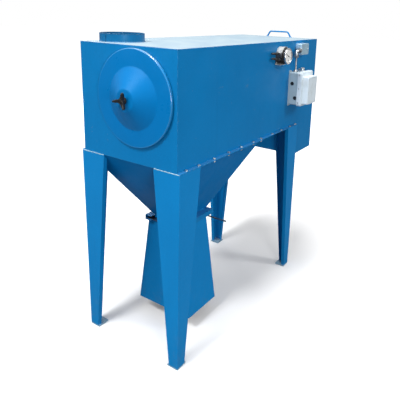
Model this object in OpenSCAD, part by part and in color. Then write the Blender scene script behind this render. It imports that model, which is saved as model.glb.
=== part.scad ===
// Cartridge dust collector on four legs, with a hopper, a slide gate and a drop chute.
// Origin on the floor at the centre of the four anchor holes. -Y is the end with the
// round access cover, +X is the long side that carries the gauge and the boxes.

/* [Cabinet] */
// Width of the cabinet
cab_w = 660; // [620:10:760]
// Length of the cabinet with the fan section
cab_l = 1630; // [1580:10:1760]
// Height of the cabinet
cab_h = 600; // [580:10:700]
// Thickness of the sheet steel
sheet = 3; // [2.5:0.5:4]
// Width of the bolting flange along each long side
flange_w = 20; // [16:1:26]
// How far the fan box reaches below the cabinet
fan_drop = 230; // [180:10:260]

/* [Stand] */
// Height of the cabinet's underside over the floor
stand_h = 1112; // [1060:4:1200]
// Length of the stand over the legs
stand_l = 1338; // [1300:2:1400]
// Width of a leg's flanges at the top
leg_top_w = 170; // [150:2:180]
// Width of a rear leg's side flange at the top
rear_side_w = 150; // [130:2:170]
// Width of a leg's flanges at the foot
leg_foot_w = 60; // [52:2:66]
// Width of the return lip on each free edge of a leg
leg_lip = 24; // [14:1:30]
// Thickness of the leg steel
leg_t = 3; // [2.5:0.5:5]
// How far each leg leans inwards from top to foot
leg_lean = 9; // [0:1:20]
// Side of the square foot plate
plate_w = 70; // [66:2:90]
// Thickness of the foot plate
plate_t = 8; // [5:1:14]
// Diameter of the anchor hole
anchor_d = 14; // [10:1:18]

/* [Hopper] */
// Length of the hopper's mouth
hopper_l = 830; // [780:10:900]
// Width of the hopper's outlet
outlet_w = 186; // [160:2:200]
// Length of the hopper's outlet
outlet_l = 270; // [230:2:290]
// Centre of the outlet behind the front face
outlet_back = 440; // [420:5:460]
// Height of the hopper from mouth to outlet
hopper_h = 440; // [420:5:470]

/* [Slide gate and chute] */
// Length of the gate rails
rail_l = 312; // [300:2:340]
// Width of a gate rail
rail_w = 48; // [42:1:54]
// Height of a gate rail
rail_h = 30; // [26:1:40]
// Thickness of the gate blade
blade_t = 4; // [3:0.5:6]
// Length of the cross bar that pulls the blade
gate_bar_l = 478; // [400:2:500]
// Diameter of the cross bar
gate_bar_d = 10; // [8:1:14]
// Width of the chute at its top
chute_top_w = 264; // [240:2:280]
// Length of the chute at its top
chute_top_l = 228; // [200:2:260]
// Width of the chute at its open foot
chute_foot_w = 396; // [340:2:440]
// Length of the chute at its open foot
chute_foot_l = 268; // [240:2:320]
// Gap between the chute's foot and the floor
chute_gap = 89; // [50:1:140]

/* [Access cover] */
// Diameter of the round access cover
cover_d = 506; // [490:2:520]
// Diameter of the pressed cone at its base
cone_d = 327; // [300:1:350]
// Height of the pressed cone
cone_h = 46; // [30:1:60]
// Radius of the cover's rolled edge
cover_edge_r = 6; // [4:0.5:7]
// How far the cover reaches past the round opening behind it
door_lap = 33; // [28:1:50]
// Thickness of the sealing ring
seal_t = 14; // [10:1:20]
// Cover centre to the right of the middle
cover_x = 60; // [50:1:70]
// Cover centre over the cabinet's underside
cover_up = 339; // [320:1:350]
// Reach of the knob's lobes from its axis
knob_r = 48; // [40:1:56]

/* [Duct collar] */
// Outside diameter of the inlet collar
collar_d = 240; // [200:2:250]
// Height of the collar over the roof
collar_h = 45; // [30:1:80]
// Collar centre to the left of the middle
collar_x = 195; // [185:1:200]
// Collar centre behind the front face
collar_back = 170; // [150:1:200]

/* [Fittings] */
// Outside diameter of the pressure gauge
gauge_d = 104; // [96:1:116]
// Gauge centre behind the front face
gauge_back = 1029; // [1000:1:1060]
// Gauge centre over the cabinet's underside
gauge_up = 511; // [480:1:530]
// Depth of the gauge body
gauge_t = 44; // [36:1:56]
// Side of the enclosure across the wall
enc_w = 176; // [160:2:200]
// Height of the enclosure
enc_h = 220; // [200:2:240]
// Depth of the enclosure's base
enc_t = 68; // [56:1:80]
// Near edge of the enclosure behind the front face
enc_back = 1182; // [1150:1:1200]
// Enclosure centre over the cabinet's underside
enc_up = 281; // [240:1:300]
// Width of the metal junction box
jbox_w = 118; // [100:1:130]
// Height of the metal junction box
jbox_h = 75; // [66:1:84]
// Depth of the metal junction box
jbox_t = 45; // [36:1:54]
// Near edge of the junction box behind the front face
jbox_back = 1264; // [1250:1:1280]
// Junction box centre over the cabinet's underside
jbox_up = 541; // [520:1:550]
// Diameter of the conduit
conduit_d = 13; // [10:0.5:16]
// Span of the lifting handle at its feet
handle_w = 200; // [160:2:240]
// Height of the lifting handle
handle_h = 46; // [36:1:60]
// Diameter of the handle bar
handle_d = 12; // [10:1:16]

/* [Filter] */
// Diameter of the filter cartridge
filter_d = 324; // [300:1:330]
// Diameter of the clear bore in the cartridge
filter_bore = 170; // [150:2:176]
// Number of pleats in the cartridge
pleats = 56; // [40:2:72]

/* [Hidden] */
$fn = 96;

blue = [0.05, 0.40, 0.68];
steel = [0.62, 0.64, 0.66];
plastic = [0.84, 0.88, 0.90];
black = [0.06, 0.06, 0.06];
e = 0.01;

// Places of the main planes
proud = 2;
front_y = -(stand_l / 2 - proud);
rear_y = front_y + cab_l;
fan_y = stand_l / 2;
top_z = stand_h + cab_h;
side_x = cab_w / 2;
leg_out = side_x + flange_w - proud;
foot_x = leg_out - leg_lean;
anchor_x = foot_x - plate_w / 2;
anchor_y = stand_l / 2 - plate_w / 2;

// Places along the hopper, the gate and the chute
hopper_front = front_y + sheet;
hopper_rear = front_y + hopper_l;
outlet_y = front_y + outlet_back;
outlet_z = stand_h - hopper_h;
gate_shift = 11;
gate_y = outlet_y - gate_shift;
rail_top = outlet_z;
rail_bottom = outlet_z - rail_h;
rail_inner = outlet_w / 2;
rail_outer = rail_inner + rail_w;
run_gap = 5;
seat_gap = 0.3;
blade_z = rail_bottom + sheet + seat_gap;
blade_w = 2 * (rail_outer - sheet - run_gap);
blade_inset = 10;
blade_out = 5;
blade_tab_w = 150;
bar_drop = 30;
blade_rear = gate_y + rail_l / 2 + blade_out;
bar_z = rail_bottom - bar_drop;
chute_shift = 18;
chute_y = gate_y - chute_shift;

// Places of the cover and the filter
cover_z = stand_h + cover_up;
cover_back = front_y - seal_t;
door_d = cover_d - 2 * door_lap;
rod_d = 16;
hub_h = 10;
cone_top_d = 70;
hub_face = cover_back - sheet - cone_h - hub_h;
knob_gap = 0.5;
knob_back = hub_face - knob_gap;
knob_t = 40;
tube_sheet_y = hopper_rear - sheet;
filter_set_back = 40;
filter_front = front_y + filter_set_back;

// Places of the fittings on the right wall
wall_x = side_x;
gauge_y = front_y + gauge_back;
gauge_z = stand_h + gauge_up;
gauge_stand = 12;
bracket_hole_d = 60;
clamp_out = 5;
clamp_w = 12;
clamp_t = 3.6;
enc_y = front_y + enc_back + enc_w / 2;
enc_z = stand_h + enc_up;
enc_lid_t = 30;
enc_cap_t = 42;
enc_rim = 6;
enc_inset = 16;
enc_cap_drop = 8;
enc_r = 8;
enc_tab_w = 30;
enc_tab_h = 12;
enc_tab_t = 5;
jbox_r = 5;
jbox_y = front_y + jbox_back + jbox_w / 2;
jbox_z = stand_h + jbox_up;
conduit_out = 33;
conduit_in = 30;
conduit_x = wall_x + conduit_out;
conduit_y = front_y + enc_back + conduit_in;
gland_h = 18;
elbow_r = 22;
elbow_d = 24;
elbow_nut = 30;
elbow_sleeve = 22;
handle_x = 22;
handle_in = 24;
handle_y = rear_y - handle_in;
fitting_out = 44;
fitting_back = 30;
plug_r = 11;
plug_near_x = wall_x + 0.4 * enc_t;
plug_near_z = enc_z + 0.155 * enc_h;
plug_far_x = wall_x + 0.78 * enc_t;
plug_far_z = enc_z - 0.286 * enc_h;

// Box between two corners
module span(low, high) {
  translate(low)
    cube(high - low);
}

// Solid between two outlines with the same number of points, given as 3D points.
// An outline that isn't convex names the convex pieces that its end faces are made of.
module loft(low, high, ends = undef) {
  n = len(low);
  caps = is_undef(ends) ? [[for (i = [0:n - 1]) i]] : ends;
  polyhedron(
    points = concat(low, high),
    faces = concat(
      caps,
      [for (c = caps) [for (i = [len(c) - 1:-1:0]) c[i] + n]],
      [for (i = [0:n - 1]) [i, i + n, (i + 1) % n + n, (i + 1) % n]]
    ),
    convexity = 6
  );
}

// Box between two corners with its four edges along X rounded
module rounded(low, high, r) {
  size = high - low;
  translate(low) {
    translate([0, r, 0])
      cube([size[0], size[1] - 2 * r, size[2]]);
    translate([0, 0, r])
      cube([size[0], size[1], size[2] - 2 * r]);
    for (y = [r, size[1] - r], z = [r, size[2] - r])
      translate([0, y, z])
        rotate([0, 90, 0])
          cylinder(r = r, h = size[0], $fn = 48);
  }
}

// Six-sided nut along Z
module hex_nut(across, h) {
  cylinder(d = across / cos(30), h = h, $fn = 6);
}

// Points of an arc from one angle to another
function arc(x, y, r, from, to, steps = 6) = [
  for (i = [0:steps])
    let (a = from + (to - from) * i / steps)
      [x + r * cos(a), y + r * sin(a)]
];
function at_height(outline, z) = [for (p = outline) [p[0], p[1], z]];
function rect(x0, y0, x1, y1) = [[x0, y0], [x1, y0], [x1, y1], [x0, y1]];

// Front wall with a turned-in foot and the round door opening
module front_wall() {
  color(blue) difference() {
    union() {
      span([-side_x, front_y, stand_h], [side_x, front_y + sheet, top_z - sheet]);
      span([-side_x + sheet, front_y, stand_h], [side_x - sheet, front_y + flange_w, stand_h + sheet]);
      translate([cover_x, front_y + sheet - e, cover_z])
        rotate([-90, 0, 0])
          cylinder(d = door_d + 2 * sheet, h = 12);
    }
    translate([cover_x, front_y - 1, cover_z])
      rotate([-90, 0, 0])
        cylinder(d = door_d, h = 40);
  }
}

// Outline of a side wall seen from the side, with the fan section reaching lower
module side_outline() {
  polygon([
    [front_y + sheet, stand_h], [fan_y, stand_h], [fan_y, stand_h - fan_drop],
    [rear_y - sheet, stand_h - fan_drop], [rear_y - sheet, top_z - sheet], [front_y + sheet, top_z - sheet]
  ]);
}

// Right wall with its turned-out bolting flange
module side_wall() {
  translate([side_x - sheet, 0, 0])
    rotate([90, 0, 90])
      linear_extrude(sheet)
        side_outline();
  span([side_x - e, front_y, stand_h], [side_x + flange_w, fan_y - sheet, stand_h + sheet]);
}

module right_wall() {
  color(blue) side_wall();
}

module left_wall() {
  color(blue) mirror([1, 0, 0]) side_wall();
}

module rear_wall() {
  color(blue)
    span([-side_x, rear_y - sheet, stand_h - fan_drop], [side_x, rear_y, top_z - sheet]);
}

module roof() {
  color(blue) difference() {
    span([-side_x, front_y, top_z - sheet], [side_x, rear_y, top_z]);
    translate([-collar_x, front_y + collar_back, top_z - 2 * sheet])
      cylinder(d = collar_d - 2 * sheet, h = 3 * sheet);
  }
}

// Floor of the clean side, between the hopper and the fan box
module cabinet_floor() {
  color(blue)
    span([-side_x + sheet, hopper_rear - flange_w, stand_h],
      [side_x - sheet, fan_y + sheet, stand_h + sheet]);
}

module fan_box_front() {
  color(blue)
    span([-side_x + sheet, fan_y, stand_h - fan_drop + sheet], [side_x - sheet, fan_y + sheet, stand_h]);
}

module fan_box_floor() {
  color(blue)
    span([-side_x + sheet, fan_y, stand_h - fan_drop],
      [side_x - sheet, rear_y - sheet, stand_h - fan_drop + sheet]);
}

// Partition that the filter cartridge seals against
module tube_sheet() {
  color(steel) difference() {
    span([-side_x + sheet, tube_sheet_y, stand_h + sheet],
      [side_x - sheet, tube_sheet_y + sheet, top_z - sheet]);
    translate([cover_x, tube_sheet_y - sheet, cover_z])
      rotate([-90, 0, 0])
        cylinder(d = filter_bore, h = 3 * sheet);
  }
}

// Rolled collar that stands on the roof in a fillet weld
module duct_collar() {
  weld = 4;
  outer = collar_d / 2;
  inner = outer - sheet;
  color(blue)
    translate([-collar_x, front_y + collar_back, top_z])
      rotate_extrude($fn = 144)
        polygon([[inner, 0], [outer + weld, 0], [outer, weld], [outer, collar_h], [inner, collar_h]]);
}

// Bent round bar on slanting feet, cut level with the roof
module roof_handle() {
  slant = 58;
  bend_r = 20;
  bar_z = handle_h - handle_d / 2;
  foot_l = (bar_z - bend_r * (1 - cos(slant))) / sin(slant);
  turn_x = handle_w / 2 - foot_l * cos(slant);
  bar_x = turn_x - bend_r * sin(slant);
  color(blue)
    translate([handle_x, handle_y, top_z])
      rotate([90, 0, 0]) {
        translate([-bar_x, bar_z, 0])
          rotate([0, 90, 0])
            cylinder(d = handle_d, h = 2 * bar_x);
        for (m = [0, 1])
          mirror([m, 0, 0]) {
            translate([-bar_x, bar_z - bend_r, 0])
              rotate([0, 0, 90])
                rotate_extrude(angle = slant)
                  translate([bend_r, 0])
                    circle(d = handle_d);
            difference() {
              translate([-turn_x, foot_l * sin(slant), 0])
                rotate([0, 0, slant - 180])
                  translate([-e, 0, 0])
                    rotate([0, 90, 0])
                      cylinder(d = handle_d, h = foot_l + handle_d);
              translate([-handle_w, -2 * handle_d, -handle_d])
                cube([handle_w, 2 * handle_d, 2 * handle_d]);
            }
          }
      }
}

// Formed leg section: two flanges with a return lip on each free edge
function leg_section(wx, wy, lip) = [
  [0, 0], [wx, 0], [wx, lip], [wx - leg_t, lip], [wx - leg_t, leg_t],
  [leg_t, leg_t], [leg_t, wy - leg_t], [lip, wy - leg_t], [lip, wy], [0, wy]
];
function place(outline, dx, dy) = [for (p = outline) [p[0] + dx, p[1] + dy]];
leg_ends = [[0, 1, 4, 5], [1, 2, 3, 4], [0, 5, 6, 9], [6, 7, 8, 9]];

// A leg with its outer corner at the front right, tapering to the foot
module leg(side_w, top) {
  translate([leg_out, -stand_l / 2, 0])
    mirror([1, 0, 0])
      loft(
        at_height(place(leg_section(leg_foot_w, leg_foot_w, leg_lip), leg_lean, 0), plate_t),
        at_height(leg_section(leg_top_w, side_w, leg_lip), top),
        leg_ends
      );
}

// Front legs are notched where their lips meet the hopper
module front_leg() {
  difference() {
    leg(leg_top_w, stand_h - sheet);
    hopper_block(proud);
  }
}

module front_right_leg() {
  color(blue) front_leg();
}

module front_left_leg() {
  color(blue) mirror([1, 0, 0]) front_leg();
}

module rear_right_leg() {
  color(blue) mirror([0, 1, 0]) leg(rear_side_w, stand_h);
}

module rear_left_leg() {
  color(blue) mirror([1, 0, 0]) mirror([0, 1, 0]) leg(rear_side_w, stand_h);
}

// Square plate with its anchor hole
module foot_plate(sx, sy) {
  color(blue)
    translate([sx * anchor_x, sy * anchor_y, 0])
      difference() {
        translate([-plate_w / 2, -plate_w / 2, 0])
          cube([plate_w, plate_w, plate_t]);
        translate([0, 0, -1])
          cylinder(d = anchor_d, h = plate_t + 2);
      }
}

module front_left_foot() {
  foot_plate(-1, -1);
}

module front_right_foot() {
  foot_plate(1, -1);
}

module rear_left_foot() {
  foot_plate(-1, 1);
}

module rear_right_foot() {
  foot_plate(1, 1);
}

// Full pyramid of the hopper, grown sideways by a margin
module hopper_block(grow, over = 0) {
  loft(
    at_height(rect(-outlet_w / 2 - grow, outlet_y - outlet_l / 2 - grow,
      outlet_w / 2 + grow, outlet_y + outlet_l / 2 + grow), outlet_z - over),
    at_height(rect(-side_x - grow, hopper_front - grow, side_x + grow, hopper_rear + grow), stand_h + over)
  );
}

// Folded hopper with a bolting flange on each long side and a short neck
module hopper() {
  neck_low = blade_z + blade_t + run_gap;
  color(blue) difference() {
    union() {
      hopper_block(0);
      for (s = [-1, 1])
        span([s > 0 ? side_x - 5 : -side_x - flange_w, front_y, stand_h - sheet],
          [s > 0 ? side_x + flange_w : 5 - side_x, hopper_rear, stand_h]);
      span([-outlet_w / 2, outlet_y - outlet_l / 2, neck_low],
        [outlet_w / 2, outlet_y + outlet_l / 2, outlet_z + e]);
    }
    hopper_block(-sheet - 1, e);
    span([-outlet_w / 2 + sheet, outlet_y - outlet_l / 2 + sheet, neck_low - 1],
      [outlet_w / 2 - sheet, outlet_y + outlet_l / 2 - sheet, outlet_z + 2]);
  }
}

// Channel that opens towards the outlet
module gate_rail() {
  translate([0, gate_y + rail_l / 2, 0])
    rotate([90, 0, 0])
      linear_extrude(rail_l)
        polygon([
          [rail_inner, rail_bottom], [rail_outer, rail_bottom],
          [rail_outer, rail_top], [rail_inner, rail_top],
          [rail_inner, rail_top - sheet], [rail_outer - sheet, rail_top - sheet],
          [rail_outer - sheet, rail_bottom + sheet], [rail_inner, rail_bottom + sheet]
        ]);
}

module right_gate_rail() {
  color(blue) gate_rail();
}

module left_gate_rail() {
  color(blue) mirror([1, 0, 0]) gate_rail();
}

// Sliding blade with a turned-down tab for the cross bar
module gate_blade() {
  color(steel) {
    span([-blade_w / 2, gate_y - rail_l / 2 + blade_inset, blade_z],
      [blade_w / 2, blade_rear, blade_z + blade_t]);
    span([-blade_tab_w / 2, blade_rear - blade_t, bar_z + gate_bar_d / 2],
      [blade_tab_w / 2, blade_rear, blade_z + e]);
  }
}

module gate_bar() {
  color(steel)
    translate([-gate_bar_l / 2, blade_rear - blade_t / 2, bar_z])
      rotate([0, 90, 0])
        cylinder(d = gate_bar_d, h = gate_bar_l, $fn = 32);
}

// Tapered chute, open at the top and at the foot
module drop_chute() {
  foot = rect(-chute_foot_w / 2, chute_y - chute_foot_l / 2,
    chute_foot_w / 2, chute_y + chute_foot_l / 2);
  top = rect(-chute_top_w / 2, chute_y - chute_top_l / 2,
    chute_top_w / 2, chute_y + chute_top_l / 2);
  foot_in = rect(-chute_foot_w / 2 + sheet, chute_y - chute_foot_l / 2 + sheet,
    chute_foot_w / 2 - sheet, chute_y + chute_foot_l / 2 - sheet);
  top_in = rect(-chute_top_w / 2 + sheet, chute_y - chute_top_l / 2 + sheet,
    chute_top_w / 2 - sheet, chute_y + chute_top_l / 2 - sheet);
  color(blue) difference() {
    loft(at_height(foot, chute_gap), at_height(top, rail_bottom));
    loft(at_height(foot_in, chute_gap - e), at_height(top_in, rail_bottom + e));
  }
}

// Pressed cover: flat rim with a rolled edge, shallow cone and raised hub
module access_cover() {
  rim = 12;
  hub_d = 44;
  edge_y = sheet - cover_edge_r;
  edge_x = cover_d / 2 - cover_edge_r;
  color(blue)
    translate([cover_x, cover_back, cover_z])
      rotate([90, 0, 0])
        rotate_extrude($fn = 144)
          polygon(concat(
            [
              [rod_d / 2 + 1, cone_h + hub_h + sheet], [rod_d / 2 + 1, cone_h + hub_h],
              [hub_d / 2 - sheet, cone_h + hub_h], [cone_top_d / 2 - sheet, cone_h],
              [cone_d / 2 - sheet, 0]
            ],
            arc(edge_x, edge_y, cover_edge_r - sheet, 90, 0),
            [[cover_d / 2 - sheet, -rim + sheet], [cover_d / 2, -rim + sheet]],
            arc(edge_x, edge_y, cover_edge_r, 0, 90),
            [
              [cone_d / 2, sheet], [cone_top_d / 2, cone_h + sheet],
              [hub_d / 2, cone_h + hub_h + sheet]
            ]
          ));
}

module cover_seal() {
  color(black)
    translate([cover_x, cover_back, cover_z])
      rotate([-90, 0, 0])
        difference() {
          cylinder(d = cover_d - 6 * sheet, h = seal_t - seat_gap);
          translate([0, 0, -1])
            cylinder(d = door_d + 6 * sheet, h = seal_t + 2);
        }
}

// Outline of the hand knob, four lobes with hollow flanks between them
function lobes(reach, waist, n = 96) = [
  for (i = [0:n - 1])
    let (a = i * 360 / n, r = waist + (reach - waist) * pow(abs(cos(2 * a)), 2.4))
      [r * cos(a), r * sin(a)]
];

// Four-lobed hand knob with chamfered lobes on a turned hub
module cover_knob() {
  hub = 34;
  waist = 15;
  low = 14;
  high = 34;
  edge = 4;
  color(black)
    translate([cover_x, knob_back, cover_z])
      rotate([90, 0, 0])
        difference() {
          union() {
            rotate_extrude($fn = 64)
              polygon([
                [0, 0], [hub / 2 - 2, 0], [hub / 2, 2], [hub / 2, knob_t - 5],
                [hub / 2 - 4, knob_t - 1], [hub / 2 - 7, knob_t], [0, knob_t]
              ]);
            translate([0, 0, low + edge])
              linear_extrude(high - low - 2 * edge)
                polygon(lobes(knob_r, waist));
            for (m = [0, 1])
              translate([0, 0, m == 0 ? high - edge : low + edge])
                mirror([0, 0, m])
                  linear_extrude(edge, scale = 1 - edge / knob_r)
                    polygon(lobes(knob_r, waist));
          }
          translate([0, 0, -1])
            cylinder(d = rod_d + 1, h = 27, $fn = 48);
        }
}

// Long rod from a bar across the clean-air hole to the knob
module draw_rod() {
  bar = 20;
  reach = knob_back - 24;
  color(steel) {
    translate([cover_x, tube_sheet_y + sheet + bar / 2, cover_z])
      rotate([90, 0, 0])
        cylinder(d = rod_d, h = tube_sheet_y + sheet + bar / 2 - reach, $fn = 48);
    span([cover_x - filter_bore / 2 - 20, tube_sheet_y + sheet, cover_z - bar / 2],
      [cover_x + filter_bore / 2 + 20, tube_sheet_y + sheet + 6, cover_z + bar / 2]);
  }
}

// Pleated pack between two end caps
module filter_cartridge() {
  cap = 14;
  deep = 38;
  outer = filter_d / 2 - 3;
  length = tube_sheet_y - filter_front;
  color(plastic)
    translate([cover_x, tube_sheet_y, cover_z])
      rotate([90, 0, 0]) {
        difference() {
          linear_extrude(length)
            polygon([for (i = [0:2 * pleats - 1])
              let (r = i % 2 == 0 ? outer : outer - deep, a = i * 180 / pleats)
                [r * cos(a), r * sin(a)]]);
          translate([0, 0, -1])
            cylinder(d = filter_bore + 4, h = length + 2);
        }
        for (z = [0, length - cap])
          translate([0, 0, z])
            difference() {
              cylinder(d = filter_d, h = cap);
              translate([0, 0, -1])
                cylinder(d = filter_bore, h = cap + 2);
            }
      }
}

// Bent plate with a round clamp that holds the gauge on the wall
module gauge_bracket() {
  wide = gauge_d + 14;
  tall = gauge_d;
  color(steel) {
    difference() {
      span([wall_x, gauge_y - wide / 2, gauge_z - tall / 2],
        [wall_x + sheet, gauge_y + wide / 2, gauge_z + tall / 2]);
      translate([wall_x - 1, gauge_y, gauge_z])
        rotate([0, 90, 0])
          cylinder(d = bracket_hole_d, h = sheet + 2);
    }
    translate([wall_x + clamp_out, gauge_y, gauge_z])
      rotate([0, 90, 0])
        difference() {
          cylinder(d = gauge_d - 6 + 2 * (seat_gap + clamp_t), h = clamp_w);
          translate([0, 0, -1])
            cylinder(d = gauge_d - 6 + 2 * seat_gap, h = clamp_w + 2);
        }
    span([wall_x, gauge_y - wide / 2, gauge_z - tall / 2 - sheet],
      [wall_x + gauge_stand + gauge_t * 0.6, gauge_y + wide / 2, gauge_z - tall / 2]);
    span([wall_x, gauge_y - wide / 2, gauge_z + tall / 2],
      [wall_x + gauge_stand + gauge_t * 0.6, gauge_y + wide / 2, gauge_z + tall / 2 + sheet]);
  }
}

module gauge_body() {
  color(black)
    translate([wall_x + sheet, gauge_y, gauge_z])
      rotate([0, 90, 0])
        cylinder(d = gauge_d - 6, h = gauge_stand - sheet + gauge_t);
}

module gauge_dial() {
  color(plastic)
    translate([wall_x + gauge_stand + gauge_t, gauge_y, gauge_z])
      rotate([0, 90, 0])
        rotate_extrude()
          polygon([
            [0, 0], [gauge_d / 2, 0], [gauge_d / 2, 7], [gauge_d / 2 - 3, 10],
            [gauge_d / 2 - 6, 10], [gauge_d / 2 - 6, 5], [0, 5]
          ]);
}

// Two barbed ports on the front side of the gauge
module gauge_ports() {
  port_up = 18;
  boss_r = 6;
  body_r = gauge_d / 2 - 3;
  reach = sqrt(pow(body_r, 2) - pow(port_up - boss_r, 2)) + seat_gap;
  color(steel)
    for (z = [-port_up, port_up])
      translate([wall_x + gauge_stand + 14, gauge_y - reach, gauge_z + z])
        rotate([90, 0, 0]) {
          cylinder(r = boss_r, h = 10, $fn = 32);
          cylinder(d = 7, h = 26, $fn = 32);
        }
}

// Drawn steel box with its flat cover
module junction_box() {
  cover = 2;
  inset = 1.5;
  color(steel) {
    rounded([wall_x, jbox_y - jbox_w / 2, jbox_z - jbox_h / 2],
      [wall_x + jbox_t - cover, jbox_y + jbox_w / 2, jbox_z + jbox_h / 2], jbox_r);
    rounded([wall_x + jbox_t - cover - e, jbox_y - jbox_w / 2 + inset, jbox_z - jbox_h / 2 + inset],
      [wall_x + jbox_t, jbox_y + jbox_w / 2 - inset, jbox_z + jbox_h / 2 - inset], jbox_r);
  }
}

// Elbow from the box's front side down to the conduit
module conduit_elbow() {
  top = jbox_z - 6;
  face = jbox_y - jbox_w / 2;
  turn = face - conduit_y;
  color(steel)
    translate([conduit_x, face, top]) {
      rotate([90, 0, 0])
        hex_nut(elbow_nut, 9);
      rotate([90, 0, 0])
        cylinder(d = elbow_d, h = turn - elbow_r + e, $fn = 48);
      translate([0, -turn + elbow_r, -elbow_r])
        rotate([0, 90, 0])
          rotate([0, 0, 180])
            rotate_extrude(angle = 90, $fn = 64)
              translate([elbow_r, 0])
                circle(d = elbow_d, $fn = 48);
      translate([0, -turn, -elbow_r - elbow_sleeve])
        cylinder(d = elbow_d, h = elbow_sleeve + e, $fn = 48);
      translate([0, -turn, -elbow_r - elbow_sleeve])
        hex_nut(elbow_nut, 12);
    }
}

module conduit() {
  low = enc_z + enc_h / 2 + gland_h;
  high = jbox_z - 6 - elbow_r - elbow_sleeve;
  color(steel)
    translate([conduit_x, conduit_y, low])
      cylinder(d = conduit_d, h = high - low, $fn = 32);
}

module conduit_gland() {
  color(steel)
    translate([conduit_x, conduit_y, enc_z + enc_h / 2])
      rotate_extrude($fn = 48)
        polygon([
          [0, 0], [15, 0], [15, 6], [13, 8], [13, 12], [10, gland_h - 1], [8, gland_h], [0, gland_h]
        ]);
}

// Moulded box with four mounting tabs and a set-in joint under the lid
module enclosure_base() {
  joint = 3;
  tab_l = enc_tab_h + enc_r;
  tab_reach = enc_h / 2 + enc_tab_h - 1;
  color(plastic)
    difference() {
      union() {
        rounded([wall_x, enc_y - enc_w / 2, enc_z - enc_h / 2],
          [wall_x + enc_t - joint, enc_y + enc_w / 2, enc_z + enc_h / 2], enc_r);
        rounded([wall_x + enc_t - joint - e, enc_y - enc_w / 2 + joint, enc_z - enc_h / 2 + joint],
          [wall_x + enc_t, enc_y + enc_w / 2 - joint, enc_z + enc_h / 2 - joint], enc_r);
        for (s = [-1, 1], t = [-1, 1])
          translate([wall_x, enc_y + s * (enc_w / 2 - enc_tab_w / 2) - enc_tab_w / 2,
            enc_z + t * (tab_reach - tab_l / 2) - tab_l / 2])
            cube([enc_tab_t, enc_tab_w, tab_l]);
      }
      for (h = [[plug_near_x, plug_near_z], [plug_far_x, plug_far_z]])
        translate([h[0], enc_y - enc_w / 2 - 1, h[1]])
          rotate([-90, 0, 0])
            cylinder(r = plug_r, h = 5);
    }
}

// Lid with a wide rim and a raised centre, both with rounded corners and a set-back edge
module enclosure_lid() {
  cap_z = enc_z - enc_cap_drop;
  rim_x = wall_x + enc_t;
  cap_x = rim_x + enc_lid_t;
  back = 4;
  color(plastic) {
    rounded([rim_x, enc_y - enc_w / 2 - enc_rim, enc_z - enc_h / 2 - enc_rim],
      [cap_x - back, enc_y + enc_w / 2 + enc_rim, enc_z + enc_h / 2 + enc_rim], enc_r + enc_rim);
    rounded([cap_x - back - e, enc_y - enc_w / 2 - enc_rim + back, enc_z - enc_h / 2 - enc_rim + back],
      [cap_x, enc_y + enc_w / 2 + enc_rim - back, enc_z + enc_h / 2 + enc_rim - back],
      enc_r + enc_rim - back);
    rounded([cap_x - e, enc_y - enc_w / 2 + enc_inset, cap_z - enc_h / 2 + enc_inset],
      [cap_x + enc_cap_t - back, enc_y + enc_w / 2 - enc_inset, cap_z + enc_h / 2 - enc_inset], enc_r);
    rounded([cap_x + enc_cap_t - back - e, enc_y - enc_w / 2 + enc_inset + back,
        cap_z - enc_h / 2 + enc_inset + back],
      [cap_x + enc_cap_t, enc_y + enc_w / 2 - enc_inset - back, cap_z + enc_h / 2 - enc_inset - back], enc_r);
  }
}

// Plugs in the two spare holes on the front side of the enclosure
module hole_plugs() {
  color(black)
    for (h = [[plug_near_x, plug_near_z], [plug_far_x, plug_far_z]])
      translate([h[0], enc_y - enc_w / 2 + 4, h[1]])
        rotate([90, 0, 0])
          cylinder(r = plug_r - seat_gap, h = 6, $fn = 48);
}

module cable_fitting() {
  color(steel)
    translate([wall_x + fitting_out, enc_y + fitting_back, enc_z + enc_h / 2])
      rotate_extrude($fn = 48)
        polygon([[0, 0], [17, 0], [17, 12], [13, 14], [13, 26], [0, 26]]);
}

front_wall();
left_wall();
right_wall();
rear_wall();
roof();
cabinet_floor();
fan_box_front();
fan_box_floor();
tube_sheet();
duct_collar();
roof_handle();
front_left_leg();
front_right_leg();
rear_left_leg();
rear_right_leg();
front_left_foot();
front_right_foot();
rear_left_foot();
rear_right_foot();
hopper();
left_gate_rail();
right_gate_rail();
gate_blade();
gate_bar();
drop_chute();
access_cover();
cover_seal();
cover_knob();
draw_rod();
filter_cartridge();
gauge_bracket();
gauge_body();
gauge_dial();
gauge_ports();
junction_box();
conduit_elbow();
conduit();
conduit_gland();
enclosure_base();
enclosure_lid();
hole_plugs();
cable_fitting();
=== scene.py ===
"""Looks of the dust collector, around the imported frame. Lengths in the helpers are millimetres."""

import math

import bmesh
import bpy
from mathutils import Matrix, Vector


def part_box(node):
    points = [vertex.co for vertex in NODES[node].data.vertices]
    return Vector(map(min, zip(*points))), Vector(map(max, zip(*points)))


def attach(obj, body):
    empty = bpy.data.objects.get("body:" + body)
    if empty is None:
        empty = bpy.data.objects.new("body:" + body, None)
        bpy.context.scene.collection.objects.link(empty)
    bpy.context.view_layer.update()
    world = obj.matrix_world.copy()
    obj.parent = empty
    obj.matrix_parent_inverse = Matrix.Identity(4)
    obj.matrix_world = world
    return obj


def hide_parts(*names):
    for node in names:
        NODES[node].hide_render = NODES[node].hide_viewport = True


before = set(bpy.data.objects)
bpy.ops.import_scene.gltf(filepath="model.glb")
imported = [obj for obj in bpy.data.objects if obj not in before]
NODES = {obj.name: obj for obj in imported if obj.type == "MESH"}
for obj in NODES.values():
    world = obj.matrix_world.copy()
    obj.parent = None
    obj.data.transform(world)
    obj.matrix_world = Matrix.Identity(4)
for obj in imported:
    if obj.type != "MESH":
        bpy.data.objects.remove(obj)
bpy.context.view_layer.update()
TAU = 2 * math.pi


def box_mm(node):
    """Lowest and highest corner of a CAD node, in millimetres."""
    low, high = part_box(node)
    return low * 1000, high * 1000


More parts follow.
